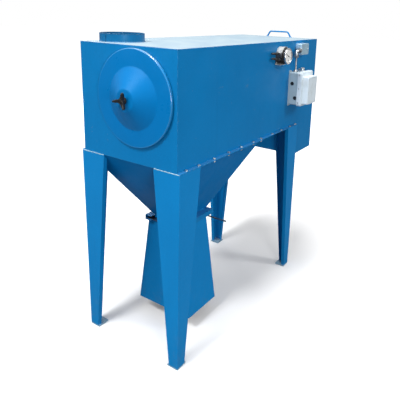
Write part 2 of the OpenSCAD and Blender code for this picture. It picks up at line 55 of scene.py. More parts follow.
# Main planes, read from the frame
front_low, front_high = box_mm("front_wall")
side_x = front_high.x
front_y = front_low.y
stand_h = front_low.z
rear_y = box_mm("rear_wall")[1].y
top_z = box_mm("roof")[1].z
fan_floor_z = box_mm("rear_wall")[0].z
fan_y = box_mm("fan_box_front")[0].y
flange_x = box_mm("right_wall")[1].x
hopper_rear = box_mm("hopper")[1].y
cover_c = (box_mm("access_cover")[0] + box_mm("access_cover")[1]) / 2
knob_low, knob_high = box_mm("cover_knob")
sheet = 3.0


# Geometry in millimetres, gathered as plain vertices and faces
class Geo:
    def __init__(self):
        self.v = []
        self.f = []

    def add(self, verts, faces):
        n = len(self.v)
        self.v += [tuple(p) for p in verts]
        self.f += [tuple(i + n for i in face) for face in faces]
        return self

    def span(self, low, high, bevel=0.0, steps=2):
        """Box between two corners with rounded edges."""
        bm = bmesh.new()
        bmesh.ops.create_cube(bm, size=1.0)
        size = [high[i] - low[i] for i in range(3)]
        for v in bm.verts:
            v.co = Vector([(v.co[i] + 0.5) * size[i] + low[i] for i in range(3)])
        if bevel > 0:
            bmesh.ops.bevel(
                bm,
                geom=bm.edges[:],
                offset=min(bevel, 0.45 * min(size)),
                segments=steps,
                profile=0.5,
                affect="EDGES",
            )
        return self.from_bm(bm)

    def from_bm(self, bm):
        bm.verts.ensure_lookup_table()
        bm.verts.index_update()
        self.add(
            [v.co.copy() for v in bm.verts],
            [[v.index for v in face.verts] for face in bm.faces],
        )
        bm.free()
        return self

    def lathe(self, profile, origin, axis="+Z", steps=48, turn=0.0):
        """Turned form. The profile is (radius, height) from one end to the other."""
        u, v, w = basis(axis)
        origin = Vector(origin)
        verts, faces, rings = [], [], []
        for r, h in profile:
            if r < 1e-6:
                verts.append(origin + w * h)
                rings.append([len(verts) - 1])
                continue
            ring = []
            for i in range(steps):
                a = TAU * i / steps + turn
                verts.append(origin + w * h + (u * math.cos(a) + v * math.sin(a)) * r)
                ring.append(len(verts) - 1)
            rings.append(ring)
        for a, b in zip(rings, rings[1:]):
            for i in range(steps):
                j = (i + 1) % steps
                quad = [a[i % len(a)], a[j % len(a)], b[j % len(b)], b[i % len(b)]]
                face = list(dict.fromkeys(quad))
                if len(face) > 2:
                    faces.append(face)
        if len(rings[0]) > 1:
            faces.append(list(reversed(rings[0])))
        if len(rings[-1]) > 1:
            faces.append(list(rings[-1]))
        return self.add(verts, faces)

    def ring(self, profile, origin, axis="+Z", steps=64):
        """Closed profile of (radius, height) turned into a ring."""
        u, v, w = basis(axis)
        origin = Vector(origin)
        n = len(profile)
        verts = []
        for i in range(steps):
            a = TAU * i / steps
            d = u * math.cos(a) + v * math.sin(a)
            verts += [origin + w * h + d * r for r, h in profile]
        faces = []
        for i in range(steps):
            j = (i + 1) % steps
            for k in range(n):
                m = (k + 1) % n
                faces.append([i * n + k, j * n + k, j * n + m, i * n + m])
        return self.add(verts, faces)

    def prism(self, outline, origin, axis, low, high, chamfer=0.0):
        """Outline of (u, v) points drawn along an axis, with chamfered ends."""
        u, v, w = basis(axis)
        origin = Vector(origin)
        n = len(outline)
        layers = [(low, 1.0), (high, 1.0)]
        if chamfer > 0:
            reach = max(math.hypot(*p) for p in outline)
            small = 1 - chamfer / reach
            layers = [(low, 1.0), (high - chamfer * 0.6, 1.0), (high, small)]
        verts = [origin + w * h + (u * p[0] + v * p[1]) * s for h, s in layers for p in outline]
        faces = [list(reversed(range(n)))]
        for k in range(len(layers) - 1):
            for i in range(n):
                j = (i + 1) % n
                faces.append([k * n + i, k * n + j, (k + 1) * n + j, (k + 1) * n + i])
        faces.append([(len(layers) - 1) * n + i for i in range(n)])
        return self.add(verts, faces)

    def tube(self, points, radius, steps=16, radii=None):
        """Round bar along points, with closed ends."""
        pts = [Vector(p) for p in points]
        verts, faces = [], []
        tangent = (pts[1] - pts[0]).normalized()
        side = tangent.orthogonal().normalized()
        for i, p in enumerate(pts):
            ahead = pts[min(i + 1, len(pts) - 1)]
            behind = pts[max(i - 1, 0)]
            t = (ahead - behind).normalized()
            side = (side - t * side.dot(t)).normalized()
            other = t.cross(side)
            r = radii[i] if radii else radius
            for k in range(steps):
                a = TAU * k / steps
                verts.append(p + (side * math.cos(a) + other * math.sin(a)) * r)
        for i in range(len(pts) - 1):
            for k in range(steps):
                m = (k + 1) % steps
                faces.append([i * steps + k, i * steps + m, (i + 1) * steps + m, (i + 1) * steps + k])
        faces.append(list(reversed(range(steps))))
        faces.append([(len(pts) - 1) * steps + k for k in range(steps)])
        return self.add(verts, faces)

    def build(self, name, material, body, slot, angle=32.0, welded=True):
        mesh = bpy.data.meshes.new(name)
        mesh.from_pydata([[c * 0.001 for c in p] for p in self.v], [], self.f)
        bm = bmesh.new()
        bm.from_mesh(mesh)
        if welded:
            bmesh.ops.remove_doubles(bm, verts=bm.verts[:], dist=1e-6)
        bmesh.ops.recalc_face_normals(bm, faces=bm.faces[:])
        bm.to_mesh(mesh)
        bm.free()
        mesh.polygons.foreach_set("use_smooth", [True] * len(mesh.polygons))
        mesh.set_sharp_from_angle(angle=math.radians(angle))
        mesh.materials.append(material)
        obj = bpy.data.objects.new(name, mesh)
        bpy.context.scene.collection.objects.link(obj)
        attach(obj, body)
        return obj


def basis(axis):
    """Two side directions and the axis itself, right-handed."""
    x, y, z = Vector((1, 0, 0)), Vector((0, 1, 0)), Vector((0, 0, 1))
    return {
        "+X": (y, z, x),
        "-X": (z, y, -x),
        "+Y": (z, x, y),
        "-Y": (x, z, -y),
        "+Z": (x, y, z),
        "-Z": (y, x, -z),
    }[axis]


def hexagon(across, turn=0.0):
    r = across / math.sqrt(3)
    return [(r * math.cos(math.pi / 3 * i + turn), r * math.sin(math.pi / 3 * i + turn)) for i in range(6)]


def bolt_head(geo, origin, axis, across=13.0, height=5.0, washer=9.0, turn=0.3):
    """Hexagon head on a washer, standing on the origin."""
    geo.lathe([(0, 0), (washer, 0), (washer, 1.2), (washer - 0.5, 1.6), (0, 1.6)], origin, axis, 24)
    geo.prism(hexagon(across, turn), origin, axis, 1.5, 1.5 + height, 0.9)


def nut_and_end(geo, origin, axis, across=13.0, height=6.5, washer=9.0, turn=0.1):
    """Nut on a washer with the bolt's end standing out of it."""
    geo.lathe([(0, 0), (washer, 0), (washer, 1.6), (0, 1.6)], origin, axis, 24)
    geo.prism(hexagon(across, turn), origin, axis, 1.5, 1.5 + height, 0.9)
    end = 1.5 + height + 5
    geo.lathe([(0, 1), (4, 1), (4, end - 1), (3.2, end), (0, end)], origin, axis, 16)


def pan_screw(geo, origin, axis, radius=4.0, height=2.4):
    """Round-headed screw with a shallow socket."""
    geo.lathe(
        [
            (0, height * 0.45),
            (radius * 0.3, height * 0.45),
            (radius * 0.38, height * 0.98),
            (radius * 0.6, height * 0.93),
            (radius * 0.88, height * 0.6),
            (radius, 0.1),
            (radius, 0),
            (0, 0),
        ],
        origin,
        axis,
        20,
    )


def weld(geo, start, end, radius, pitch=5.0, steps=8):
    """Bead with the ripples that a weld leaves."""
    a, b = Vector(start), Vector(end)
    length = (b - a).length
    count = max(4, int(length / pitch * 3))
    points = [a.lerp(b, i / count) for i in range(count + 1)]
    radii = [
        radius * (0.9 + 0.16 * abs(math.sin(math.pi * i / 3)) + 0.05 * math.sin(i * 1.7))
        for i in range(count + 1)
    ]
    radii[0] *= 0.55
    radii[-1] *= 0.55
    geo.tube(points, radius, steps, radii)


# Materials, all from nodes
class Shader:
    def __init__(self, name):
        self.mat = bpy.data.materials.new(name)
        self.mat.use_nodes = True
        self.tree = self.mat.node_tree
        self.bsdf = next(n for n in self.tree.nodes if n.type == "BSDF_PRINCIPLED")
        self.coord = self.node("ShaderNodeTexCoord").outputs["Object"]
        self.geometry = self.node("ShaderNodeNewGeometry")

    def node(self, kind, **values):
        made = self.tree.nodes.new(kind)
        for key, value in values.items():
            setattr(made, key, value)
        return made

    def link(self, a, b):
        self.tree.links.new(a, b)

    def put(self, socket, value):
        if isinstance(value, bpy.types.NodeSocket):
            self.link(value, socket)
        else:
            socket.default_value = value

    def scaled(self, scale):
        made = self.node("ShaderNodeMapping")
        made.inputs["Scale"].default_value = scale
        self.link(self.coord, made.inputs["Vector"])
        return made.outputs["Vector"]

    def noise(self, scale, detail=3.0, rough=0.5, vector=None, distort=0.0):
        made = self.node("ShaderNodeTexNoise")
        self.link(vector or self.coord, made.inputs["Vector"])
        made.inputs["Scale"].default_value = scale
        made.inputs["Detail"].default_value = detail
        made.inputs["Roughness"].default_value = rough
        made.inputs["Distortion"].default_value = distort
        return made.outputs["Fac"]

    def ramp(self, value, low, high, out_low=0.0, out_high=1.0):
        made = self.node("ShaderNodeMapRange")
        made.interpolation_type = "SMOOTHSTEP"
        self.put(made.inputs["Value"], value)
        made.inputs["From Min"].default_value = low
        made.inputs["From Max"].default_value = high
        made.inputs["To Min"].default_value = out_low
        made.inputs["To Max"].default_value = out_high
        return made.outputs["Result"]

    def math(self, kind, a, b=0.0):
        made = self.node("ShaderNodeMath", operation=kind)
        self.put(made.inputs[0], a)
        self.put(made.inputs[1], b)
        return made.outputs[0]

    def mix(self, factor, a, b):
        made = self.node("ShaderNodeMix", data_type="RGBA")
        self.put(made.inputs[0], factor)
        self.put(made.inputs[6], a)
        self.put(made.inputs[7], b)
        return made.outputs[2]

    def up(self):
        """1 where a face looks up, 0 on walls."""
        split = self.node("ShaderNodeSeparateXYZ")
        self.link(self.geometry.outputs["True Normal"], split.inputs[0])
        return self.ramp(split.outputs["Z"], 0.6, 0.97)

    def height(self):
        split = self.node("ShaderNodeSeparateXYZ")
        self.link(self.coord, split.inputs[0])
        return split.outputs["Z"]

    def edges(self, radius):
        """1 along hard edges, 0 on flat faces."""
        bevel = self.node("ShaderNodeBevel", samples=4)
        bevel.inputs["Radius"].default_value = radius
        dot = self.node("ShaderNodeVectorMath", operation="DOT_PRODUCT")
        self.link(bevel.outputs["Normal"], dot.inputs[0])
        self.link(self.geometry.outputs["Normal"], dot.inputs[1])
        return self.ramp(dot.outputs["Value"], 0.995, 0.86)

    def bump(self, layers):
        """Layers are (height value, strength, distance)."""
        last = None
        for value, strength, distance in layers:
            made = self.node("ShaderNodeBump")
            made.inputs["Strength"].default_value = strength
            made.inputs["Distance"].default_value = distance
            self.link(value, made.inputs["Height"])
            if last:
                self.link(last, made.inputs["Normal"])
            last = made.outputs["Normal"]
        self.link(last, self.bsdf.inputs["Normal"])

    def set(self, **values):
        for key, value in values.items():
            self.put(self.bsdf.inputs[key.replace("_", " ")], value)
        return self.mat


def rgb(r, g, b):
    return (r, g, b, 1.0)


def enamel(name, base, deep, dust=0.60, wear=0.5, rough=0.34, tint=0.50, ior=1.35):
    """Sprayed enamel: orange peel, slow tone changes, dust and a painted glare on top faces, rubbed edges, scuffs low
    down.
    """
    s = Shader(name)
    slow = s.noise(2.6, 4.0, 0.55)
    fine = s.noise(85.0, 3.0, 0.6)
    streak = s.noise(1.0, 4.0, 0.55, s.scaled((26.0, 26.0, 1.4)))
    tone = s.math("ADD", s.math("MULTIPLY", slow, 0.6), s.math("MULTIPLY", fine, 0.4))
    colour = s.mix(s.ramp(tone, 0.3, 0.7), deep, base)
    darker = rgb(base[0] * 0.62, base[1] * 0.72, base[2] * 0.78)
    colour = s.mix(s.ramp(streak, 0.58, 0.82, 0.0, 0.35), colour, darker)
    low = s.ramp(s.height(), 0.34, 0.02)
    grime = s.math("MULTIPLY", low, s.ramp(s.noise(22.0, 5.0, 0.65), 0.45, 0.75))
    colour = s.mix(s.math("MULTIPLY", grime, 0.16), colour, rgb(0.16, 0.19, 0.21))
    # Pale on up-facing faces high up: partly dust, partly a painted glare standing in for the roof's reflection.
    top = s.math("MULTIPLY", s.up(), s.ramp(s.noise(9.0, 6.0, 0.65), 0.25, 0.75, 0.80, 1.0))
    top = s.math("MULTIPLY", top, s.ramp(s.height(), 1.15, 1.6, 0.07, 1.0))
    colour = s.mix(s.math("MULTIPLY", top, dust), colour, rgb(0.64, 0.67, 0.56))
    broken = s.ramp(s.noise(60.0, 4.0, 0.65), 0.47, 0.62)
    rub = s.math("MULTIPLY", s.edges(0.0022), broken)
    colour = s.mix(s.math("MULTIPLY", rub, wear), colour, rgb(0.30, 0.50, 0.64))
    nick = s.ramp(s.noise(34.0, 2.0, 0.5, None, 1.4), 0.735, 0.755)
    colour = s.mix(s.math("MULTIPLY", nick, 0.6 * wear), colour, rgb(0.20, 0.24, 0.27))
    gloss = s.ramp(s.noise(9.0, 4.0, 0.6), 0.3, 0.7, rough - 0.05, rough + 0.09)
    gloss = s.math("ADD", gloss, s.math("MULTIPLY", top, 0.16))
    s.bump(
        [
            (s.noise(3.4, 2.0, 0.4), 0.11, 0.006),
            (s.noise(520.0, 2.0, 0.5), 0.10, 0.0006),
        ]
    )
    return s.set(Base_Color=colour, Roughness=gloss, IOR=ior, Specular_Tint=rgb(tint, 0.80, 1.0))


def bare_metal(name, base, rough=0.34, brushed=(1.0, 1.0, 60.0), spangle=False, metal=1.0):
    """Bare or zinc-plated steel with a grain, stains and duller patches."""
    s = Shader(name)
    grain = s.noise(9.0, 3.0, 0.5, s.scaled(brushed))
    stain = s.noise(14.0, 5.0, 0.6)
    dark = rgb(base[0] * 0.62, base[1] * 0.63, base[2] * 0.65)
    colour = s.mix(s.ramp(stain, 0.35, 0.72), base, dark)
    if spangle:
        cells = s.node("ShaderNodeTexVoronoi")
        s.link(s.coord, cells.inputs["Vector"])
        cells.inputs["Scale"].default_value = 120.0
        split = s.node("ShaderNodeSeparateXYZ")
        s.link(cells.outputs["Color"], split.inputs[0])
        colour = s.mix(
            s.math("MULTIPLY", split.outputs["X"], 0.5),
            colour,
            rgb(min(1, base[0] * 1.25), min(1, base[1] * 1.25), min(1, base[2] * 1.25)),
        )
    colour = s.mix(s.math("MULTIPLY", s.edges(0.0012), 0.5), colour, rgb(0.86, 0.87, 0.88))
    gloss = s.ramp(stain, 0.3, 0.7, rough - 0.06, rough + 0.14)
    s.bump([(grain, 0.12, 0.0006), (s.noise(300.0, 2.0), 0.08, 0.0004)])
    return s.set(Base_Color=colour, Roughness=gloss, Metallic=metal)


def moulded(name, base, rough=0.42, grain=900.0, dust=0.15, depth=0.10):
    """Moulded plastic or rubber with a fine grain and slight soiling."""
    s = Shader(name)
    tone = s.noise(18.0, 4.0, 0.6)
    soiled = rgb(base[0] * 0.80 + 0.01, base[1] * 0.79 + 0.01, base[2] * 0.76 + 0.01)
    colour = s.mix(s.ramp(tone, 0.42, 0.8, 0.0, 0.7), base, soiled)
    colour = s.mix(s.math("MULTIPLY", s.up(), dust), colour, rgb(0.55, 0.57, 0.57))
    worn = rgb(min(1, base[0] * 1.15 + 0.03), min(1, base[1] * 1.15 + 0.03), min(1, base[2] * 1.15 + 0.03))
    colour = s.mix(s.math("MULTIPLY", s.edges(0.0015), 0.45), colour, worn)
    gloss = s.ramp(s.noise(30.0, 3.0), 0.3, 0.7, rough - 0.05, rough + 0.07)
    s.bump([(s.noise(grain, 2.0), depth, 0.0004)])
    return s.set(Base_Color=colour, Roughness=gloss, IOR=1.48)


BLUE = rgb(0.002, 0.190, 0.480)
BLUE_DEEP = rgb(0.002, 0.166, 0.425)
M = {
    "blue": enamel("blue_enamel", BLUE, BLUE_DEEP),
    # Lighter copy of the blue for the legs, the fan box front and the chute: painted light.
    "leg": enamel("leg_enamel_painted_light", rgb(0.003, 0.222, 0.560), rgb(0.003, 0.200, 0.510), 0.60, 0.2),
    "cover": enamel("cover_enamel", rgb(0.0, 0.172, 0.475), rgb(0.0, 0.160, 0.440), 0.4, 0.0, 0.32, 0.50),
    # Lighter, glossier enamel for the cover's rolled edge: the lighter colour is a painted highlight.
    "rim": enamel("rim_enamel_painted_highlight", rgb(0.02, 0.25, 0.56), rgb(0.01, 0.22, 0.50), 0.4, 0.0, 0.15, 1.0, 1.9),
    # Dark copy of the blue for the collar's seam: painted shade.
    "seam": enamel("seam_enamel_painted_shade", rgb(0.002, 0.075, 0.200), rgb(0.002, 0.065, 0.170), 0.3, 0.3),
    # Slightly deeper copy of the blue for the hopper: painted shade.
    "hopper": enamel("hopper_enamel_painted_shade", rgb(0.002, 0.180, 0.490), rgb(0.002, 0.160, 0.440), 0.3, 0.3, 0.34, 0.40, 1.22),
    "collar": enamel("collar_enamel", rgb(0.004, 0.140, 0.330), rgb(0.004, 0.120, 0.290), 0.4, 0.4),
    "feet": enamel("foot_enamel", rgb(0.28, 0.44, 0.56), rgb(0.18, 0.32, 0.44), dust=0.5, wear=1.2, rough=0.45),
    "bare": bare_metal("mill_steel", rgb(0.56, 0.57, 0.58), 0.36),
    "gate": bare_metal("dull_steel", rgb(0.30, 0.31, 0.33), 0.45),
    "zinc": bare_metal("zinc_plate", rgb(0.42, 0.44, 0.46), 0.38),
    "galvanised": bare_metal("galvanised_sheet", rgb(0.60, 0.63, 0.65), 0.40, (1.0, 1.0, 1.0), True),
    "box": bare_metal("box_zinc", rgb(0.47, 0.67, 0.80), 0.40, (1.0, 1.0, 1.0), True, 0.5),
    "rubber": moulded("seal_rubber", rgb(0.020, 0.020, 0.021), 0.62, 700.0),
    "black": moulded("black_plastic", rgb(0.018, 0.018, 0.019), 0.34, 800.0, 0.10),
    "knob": moulded("knob_plastic", rgb(0.012, 0.012, 0.013), 0.24, 500.0, 0.04, 0.05),
    "bolt": bare_metal("bolt_zinc", rgb(0.66, 0.72, 0.74), 0.38, (1.0, 1.0, 1.0)),
    "bezel": bare_metal("bezel_metal", rgb(0.80, 0.81, 0.82), 0.28, (1.0, 1.0, 1.0)),
    "mesh": bare_metal("perforated_core", rgb(0.50, 0.51, 0.52), 0.42, (1.0, 1.0, 1.0)),
    "white": moulded("white_dial", rgb(0.84, 0.85, 0.84), 0.35, 500.0, 0.0, 0.02),
    "pale": moulded("pale_plastic", rgb(0.71, 0.80, 0.86), 0.40, 800.0, 0.12),
    "pale_base": moulded("pale_base", rgb(0.44, 0.56, 0.62), 0.44, 800.0, 0.12),
    "ink": moulded("dial_ink", rgb(0.03, 0.03, 0.035), 0.5, 500.0, 0.0, 0.02),
    # Pale bead on the leg tops: sealant with a painted highlight.
    "sealant": moulded("pale_sealant_and_highlight", rgb(0.40, 0.60, 0.68), 0.5, 260.0, 0.1, 0.3),
}


def bracket_steel():
    """Plated at the clamp and the foot; near black between them, a painted shade over dull steel."""
    s = Shader("bracket_steel")
    stain = s.noise(16.0, 5.0, 0.6)
    low, high = box_mm("gauge_bracket")
    top = s.ramp(s.height(), high.z * 0.001 - 0.040, high.z * 0.001 - 0.024)
    foot = s.ramp(s.height(), low.z * 0.001 + 0.012, low.z * 0.001 + 0.004)
    ends = s.math("MAXIMUM", top, foot)
    plated = s.mix(s.ramp(stain, 0.35, 0.7), rgb(0.66, 0.65, 0.61), rgb(0.30, 0.32, 0.33))
    # Near black between the plated ends: painted shade.
    colour = s.mix(ends, rgb(0.060, 0.068, 0.080), plated)
    s.bump([(s.noise(300.0, 2.0), 0.08, 0.0004)])
    return s.set(Base_Color=colour, Roughness=s.ramp(stain, 0.3, 0.7, 0.28, 0.45), Metallic=0.35)


M["bracket"] = bracket_steel()


def filter_paper():
    s = Shader("filter_paper")
    colour = s.mix(s.ramp(s.noise(14.0, 5.0, 0.6), 0.3, 0.75), rgb(0.80, 0.79, 0.74), rgb(0.58, 0.56, 0.50))
    fibre = s.noise(700.0, 3.0, 0.7)
    colour = s.mix(s.ramp(fibre, 0.45, 0.7, 0.0, 0.3), colour, rgb(0.45, 0.43, 0.38))
    s.bump([(fibre, 0.35, 0.0008)])
    return s.set(Base_Color=colour, Roughness=0.9, Sheen_Weight=0.2)


M["paper"] = filter_paper()

NODE_MATERIAL = {
    "tube_sheet": "galvanised",
    "draw_rod": "bare",
    "gate_blade": "gate",
    "gate_bar": "gate",
    "cover_seal": "rubber",
    "cover_knob": "black",
    "hole_plugs": "black",
    "gauge_body": "black",
    "filter_cartridge": "paper",
    "gauge_bracket": "bracket",
    "gauge_ports": "zinc",
    "gauge_dial": "white",
    "junction_box": "box",
    "conduit_elbow": "zinc",
    "conduit": "zinc",
    "conduit_gland": "zinc",
    "cable_fitting": "zinc",
    "enclosure_base": "pale_base",
    "enclosure_lid": "pale",
    "duct_collar": "collar",
    "fan_box_front": "leg",
    "hopper": "hopper",
    "front_left_leg": "leg",
    "front_right_leg": "leg",
    "rear_left_leg": "leg",
    "rear_right_leg": "leg",
    "drop_chute": "leg",
    "front_left_foot": "feet",
    "front_right_foot": "feet",
    "rear_left_foot": "feet",
    "rear_right_foot": "feet",
}
for name, node in NODES.items():
    node.data.materials.clear()
    node.data.materials.append(M[NODE_MATERIAL.get(name, "blue")])


# Stage: pale floor, soft lights and the camera
def make_stage():
    mesh = bpy.data.meshes.new("floor")
    r = 40.0
    mesh.from_pydata([(-r, -r, 0), (r, -r, 0), (r, r, 0), (-r, r, 0)], [], [(0, 1, 2, 3)])
    floor = bpy.data.objects.new("floor", mesh)
    bpy.context.scene.collection.objects.link(floor)
    s = Shader("floor_paint")
    tone = s.noise(0.7, 3.0, 0.5)
    seen = s.mix(s.ramp(tone, 0.3, 0.7), rgb(0.95, 0.95, 0.95), rgb(0.98, 0.98, 0.98))
    path = s.node("ShaderNodeLightPath").outputs["Is Camera Ray"]
    place = s.node("ShaderNodeVectorMath", operation="LENGTH")
    s.link(s.coord, place.inputs[0])
    away = s.math("MULTIPLY", s.ramp(place.outputs["Value"], 2.0, 6.0, 0.0, 0.55), path)
    s.set(Emission_Color=rgb(1, 1, 1), Emission_Strength=away)
    mesh.materials.append(s.set(Base_Color=s.mix(path, rgb(0.13, 0.14, 0.15), seen), Roughness=0.95, IOR=1.1))
    floor.location.z = -0.0004


def area_light(name, place, target, size, power, colour=(1, 1, 1)):
    data = bpy.data.lights.new(name, "AREA")
    data.shape = "DISK"
    data.size = size
    data.energy = power
    data.color = colour
    light = bpy.data.objects.new(name, data)
    light.location = place
    light.rotation_mode = "QUATERNION"
    light.rotation_quaternion = (Vector(target) - Vector(place)).to_track_quat("-Z", "Y")
    bpy.context.scene.collection.objects.link(light)


def make_lights():
    world = bpy.data.worlds.new("studio")
    bpy.context.scene.world = world
    world.use_nodes = True
    tree = world.node_tree
    back = tree.nodes["Background"]
    coord = tree.nodes.new("ShaderNodeTexCoord")
    split = tree.nodes.new("ShaderNodeSeparateXYZ")
    tree.links.new(coord.outputs["Generated"], split.inputs[0])

    def ramp(socket, low, high, out_low, out_high):
        made = tree.nodes.new("ShaderNodeMapRange")
        made.interpolation_type = "SMOOTHSTEP"
        for name, value in (
            ("From Min", low),
            ("From Max", high),
            ("To Min", out_low),
            ("To Max", out_high),
        ):
            made.inputs[name].default_value = value
        tree.links.new(socket, made.inputs["Value"])
        return made.outputs["Result"]

    rise = ramp(split.outputs["Z"], -0.05, 0.9, 0.30, 0.56)
    path = tree.nodes.new("ShaderNodeLightPath")
    mix = tree.nodes.new("ShaderNodeMix")
    mix.data_type = "FLOAT"
    tree.links.new(path.outputs["Is Camera Ray"], mix.inputs[0])
    tree.links.new(rise, mix.inputs[2])
    mix.inputs[3].default_value = 1.0
    tree.links.new(mix.outputs[0], back.inputs["Strength"])
    back.inputs["Color"].default_value = (1.0, 1.0, 1.0, 1.0)
    middle = (0.1, -0.1, 1.15)
    area_light("overhead", (0.25, -0.7, 9.0), middle, 2.4, 450)
    area_light("key", (-0.8, -5.2, 7.4), middle, 2.0, 390)
    area_light("left", (-2.7, -5.1, 4.1), middle, 3.0, 74)
    area_light("side", (5.2, 2.2, 4.6), middle, 1.6, 108)
    area_light("back", (-6.0, 4.6, 1.5), (0.1, -0.1, 1.0), 2.0, 90)
    area_light("fill", (5.2, -3.8, 1.7), (0.1, -0.1, 1.0), 2.0, 156)


def make_camera():
    """Eye, direction and principal point as worked out from the photograph's parallel edges."""
    eye = Vector((1.652822, -2.274774, 1.878198))
    azimuth, elevation, roll = (math.radians(a) for a in (32.366, 13.248, 1.852))
    focal_px, centre_px = 453.138, (232.0, 120.0)
    forward = Vector(
        (
            -math.sin(azimuth) * math.cos(elevation),
            math.cos(azimuth) * math.cos(elevation),
            -math.sin(elevation),
        )
    )
    right = forward.cross(Vector((0, 0, 1))).normalized()
    up = right.cross(forward)
    right, up = (
        right * math.cos(roll) + up * math.sin(roll),
        up * math.cos(roll) - right * math.sin(roll),
    )
    data = bpy.data.cameras.new("photo_view")
    data.sensor_width = 36.0
    data.lens = 36.0 * focal_px / 400.0
    data.shift_x = (200.0 - centre_px[0]) / 400.0
    data.shift_y = (centre_px[1] - 200.0) / 400.0
    data.clip_start, data.clip_end = 0.05, 200.0
    camera = bpy.data.objects.new("photo_view", data)
    camera.matrix_world = Matrix(
        (
            (right.x, up.x, -forward.x, eye.x),
            (right.y, up.y, -forward.y, eye.y),
            (right.z, up.z, -forward.z, eye.z),
            (0, 0, 0, 1),
        )
    )
    bpy.context.scene.collection.objects.link(camera)
    bpy.context.scene.camera = camera


make_stage()
make_lights()
make_camera()
bpy.context.scene.view_settings.view_transform = "Standard"


# Bolts along the cabinet's flange, the same on both sides
def flange_bolts(side):
    geo = Geo()
    x = side * (side_x + 8.5)
    hopper_top = box_mm("hopper")[1].z
    for i, y in enumerate((-606, -502, -365, -224, -89, 50, 148)):
        bolt_head(geo, (x, y, stand_h + sheet), "+Z", turn=0.4 * i)
        nut_and_end(geo, (x, y, hopper_top - sheet), "-Z", turn=0.3 * i + 0.2)
    for i, y in enumerate((300, 430, 560, 650)):
        bolt_head(geo, (x, y, stand_h + sheet), "+Z", turn=0.5 * i)
    name = "right" if side > 0 else "left"
    geo.build(f"flange_bolts_{name}", M["bolt"], "housing", "zinc_steel")


flange_bolts(1)
flange_bolts(-1)

# Pressed cover: rolled edge, flat rim, steep cone and a flat seat for the knob
def pressed_cover():
    back = box_mm("cover_seal")[0].y
    origin = (cover_c.x, back, cover_c.z)
    reach, roll = 249.5, 4.5
    seat = back - knob_high.y - 0.6
    edge = [(reach, -9.0)]
    for i in range(8):
        a = TAU / 4 * i / 7
        edge.append((reach - roll + roll * math.cos(a), 3.0 - roll + roll * math.sin(a)))
    form = [(167.5, 3.0), (162.0, 3.15), (159.3, 3.9), (157.1, 5.2)]
    form += [(65.0, seat - 5.4), (62.0, seat - 3.4), (59.0, seat - 1.7), (56.0, seat - 0.6), (52.5, seat)]
    outside = edge + form
    inside = [(r - 1.6, h - 2.4) for r, h in reversed(form)]
    inside += [(reach - roll - 1.0, 0.6), (reach - roll + 0.6, 0.2), (reach - 2.4, -1.4), (reach - 2.4, -9.0)]
    geo = Geo()
    geo.ring(outside + [(9.2, seat), (9.2, seat - 2.4)] + inside, origin, "-Y", 160)
    cover = geo.build("pressed_cover", M["cover"], "cover", "blue_paint", 40)
    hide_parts("access_cover")
    # Faces of the rolled edge take the rim enamel, whose lighter colour is a painted highlight.
    cover.data.materials.append(M["rim"])
    inner = (reach - roll - 0.6) * 0.001
    for face in cover.data.polygons:
        away = math.hypot(face.center.x - cover_c.x * 0.001, face.center.z - cover_c.z * 0.001)
        face.material_index = 1 if away > inner else 0


pressed_cover()


# Three-armed hand knob, with a hollow flank between each two arms
def arm_outline(reach, inset):
    """Points round the knob, out along each arm, round its tip and back to the web."""
    waist, tip = 15.5 - 0.6 * inset, 6.8 - inset
    root = 8.2 - inset
    flank = [
        (waist * 0.5, waist * 0.866),
        (waist * 0.5 + 6.0, waist * 0.866 - 3.6),
        (21.0, root + 0.9),
        (30.0, root),
    ]
    side = []
    for i in range(9):
        t = i / 8
        parts = ((1 - t) ** 3, 3 * t * (1 - t) ** 2, 3 * t * t * (1 - t), t**3)
        side.append([sum(w * p[k] for w, p in zip(parts, flank)) for k in (0, 1)])
    end = reach - inset - tip
    arm = [(x, -y) for x, y in side]
    arm += [(end + tip * math.cos(a), tip * math.sin(a)) for a in (TAU * i / 24 for i in range(-6, 7))]
    arm += [(x, y) for x, y in reversed(side[1:])]
    points = []
    for turn in (186, 306, 66):
        c, z = math.cos(math.radians(turn)), math.sin(math.radians(turn))
        points += [(x * c - y * z, x * z + y * c) for x, y in arm]
    return points


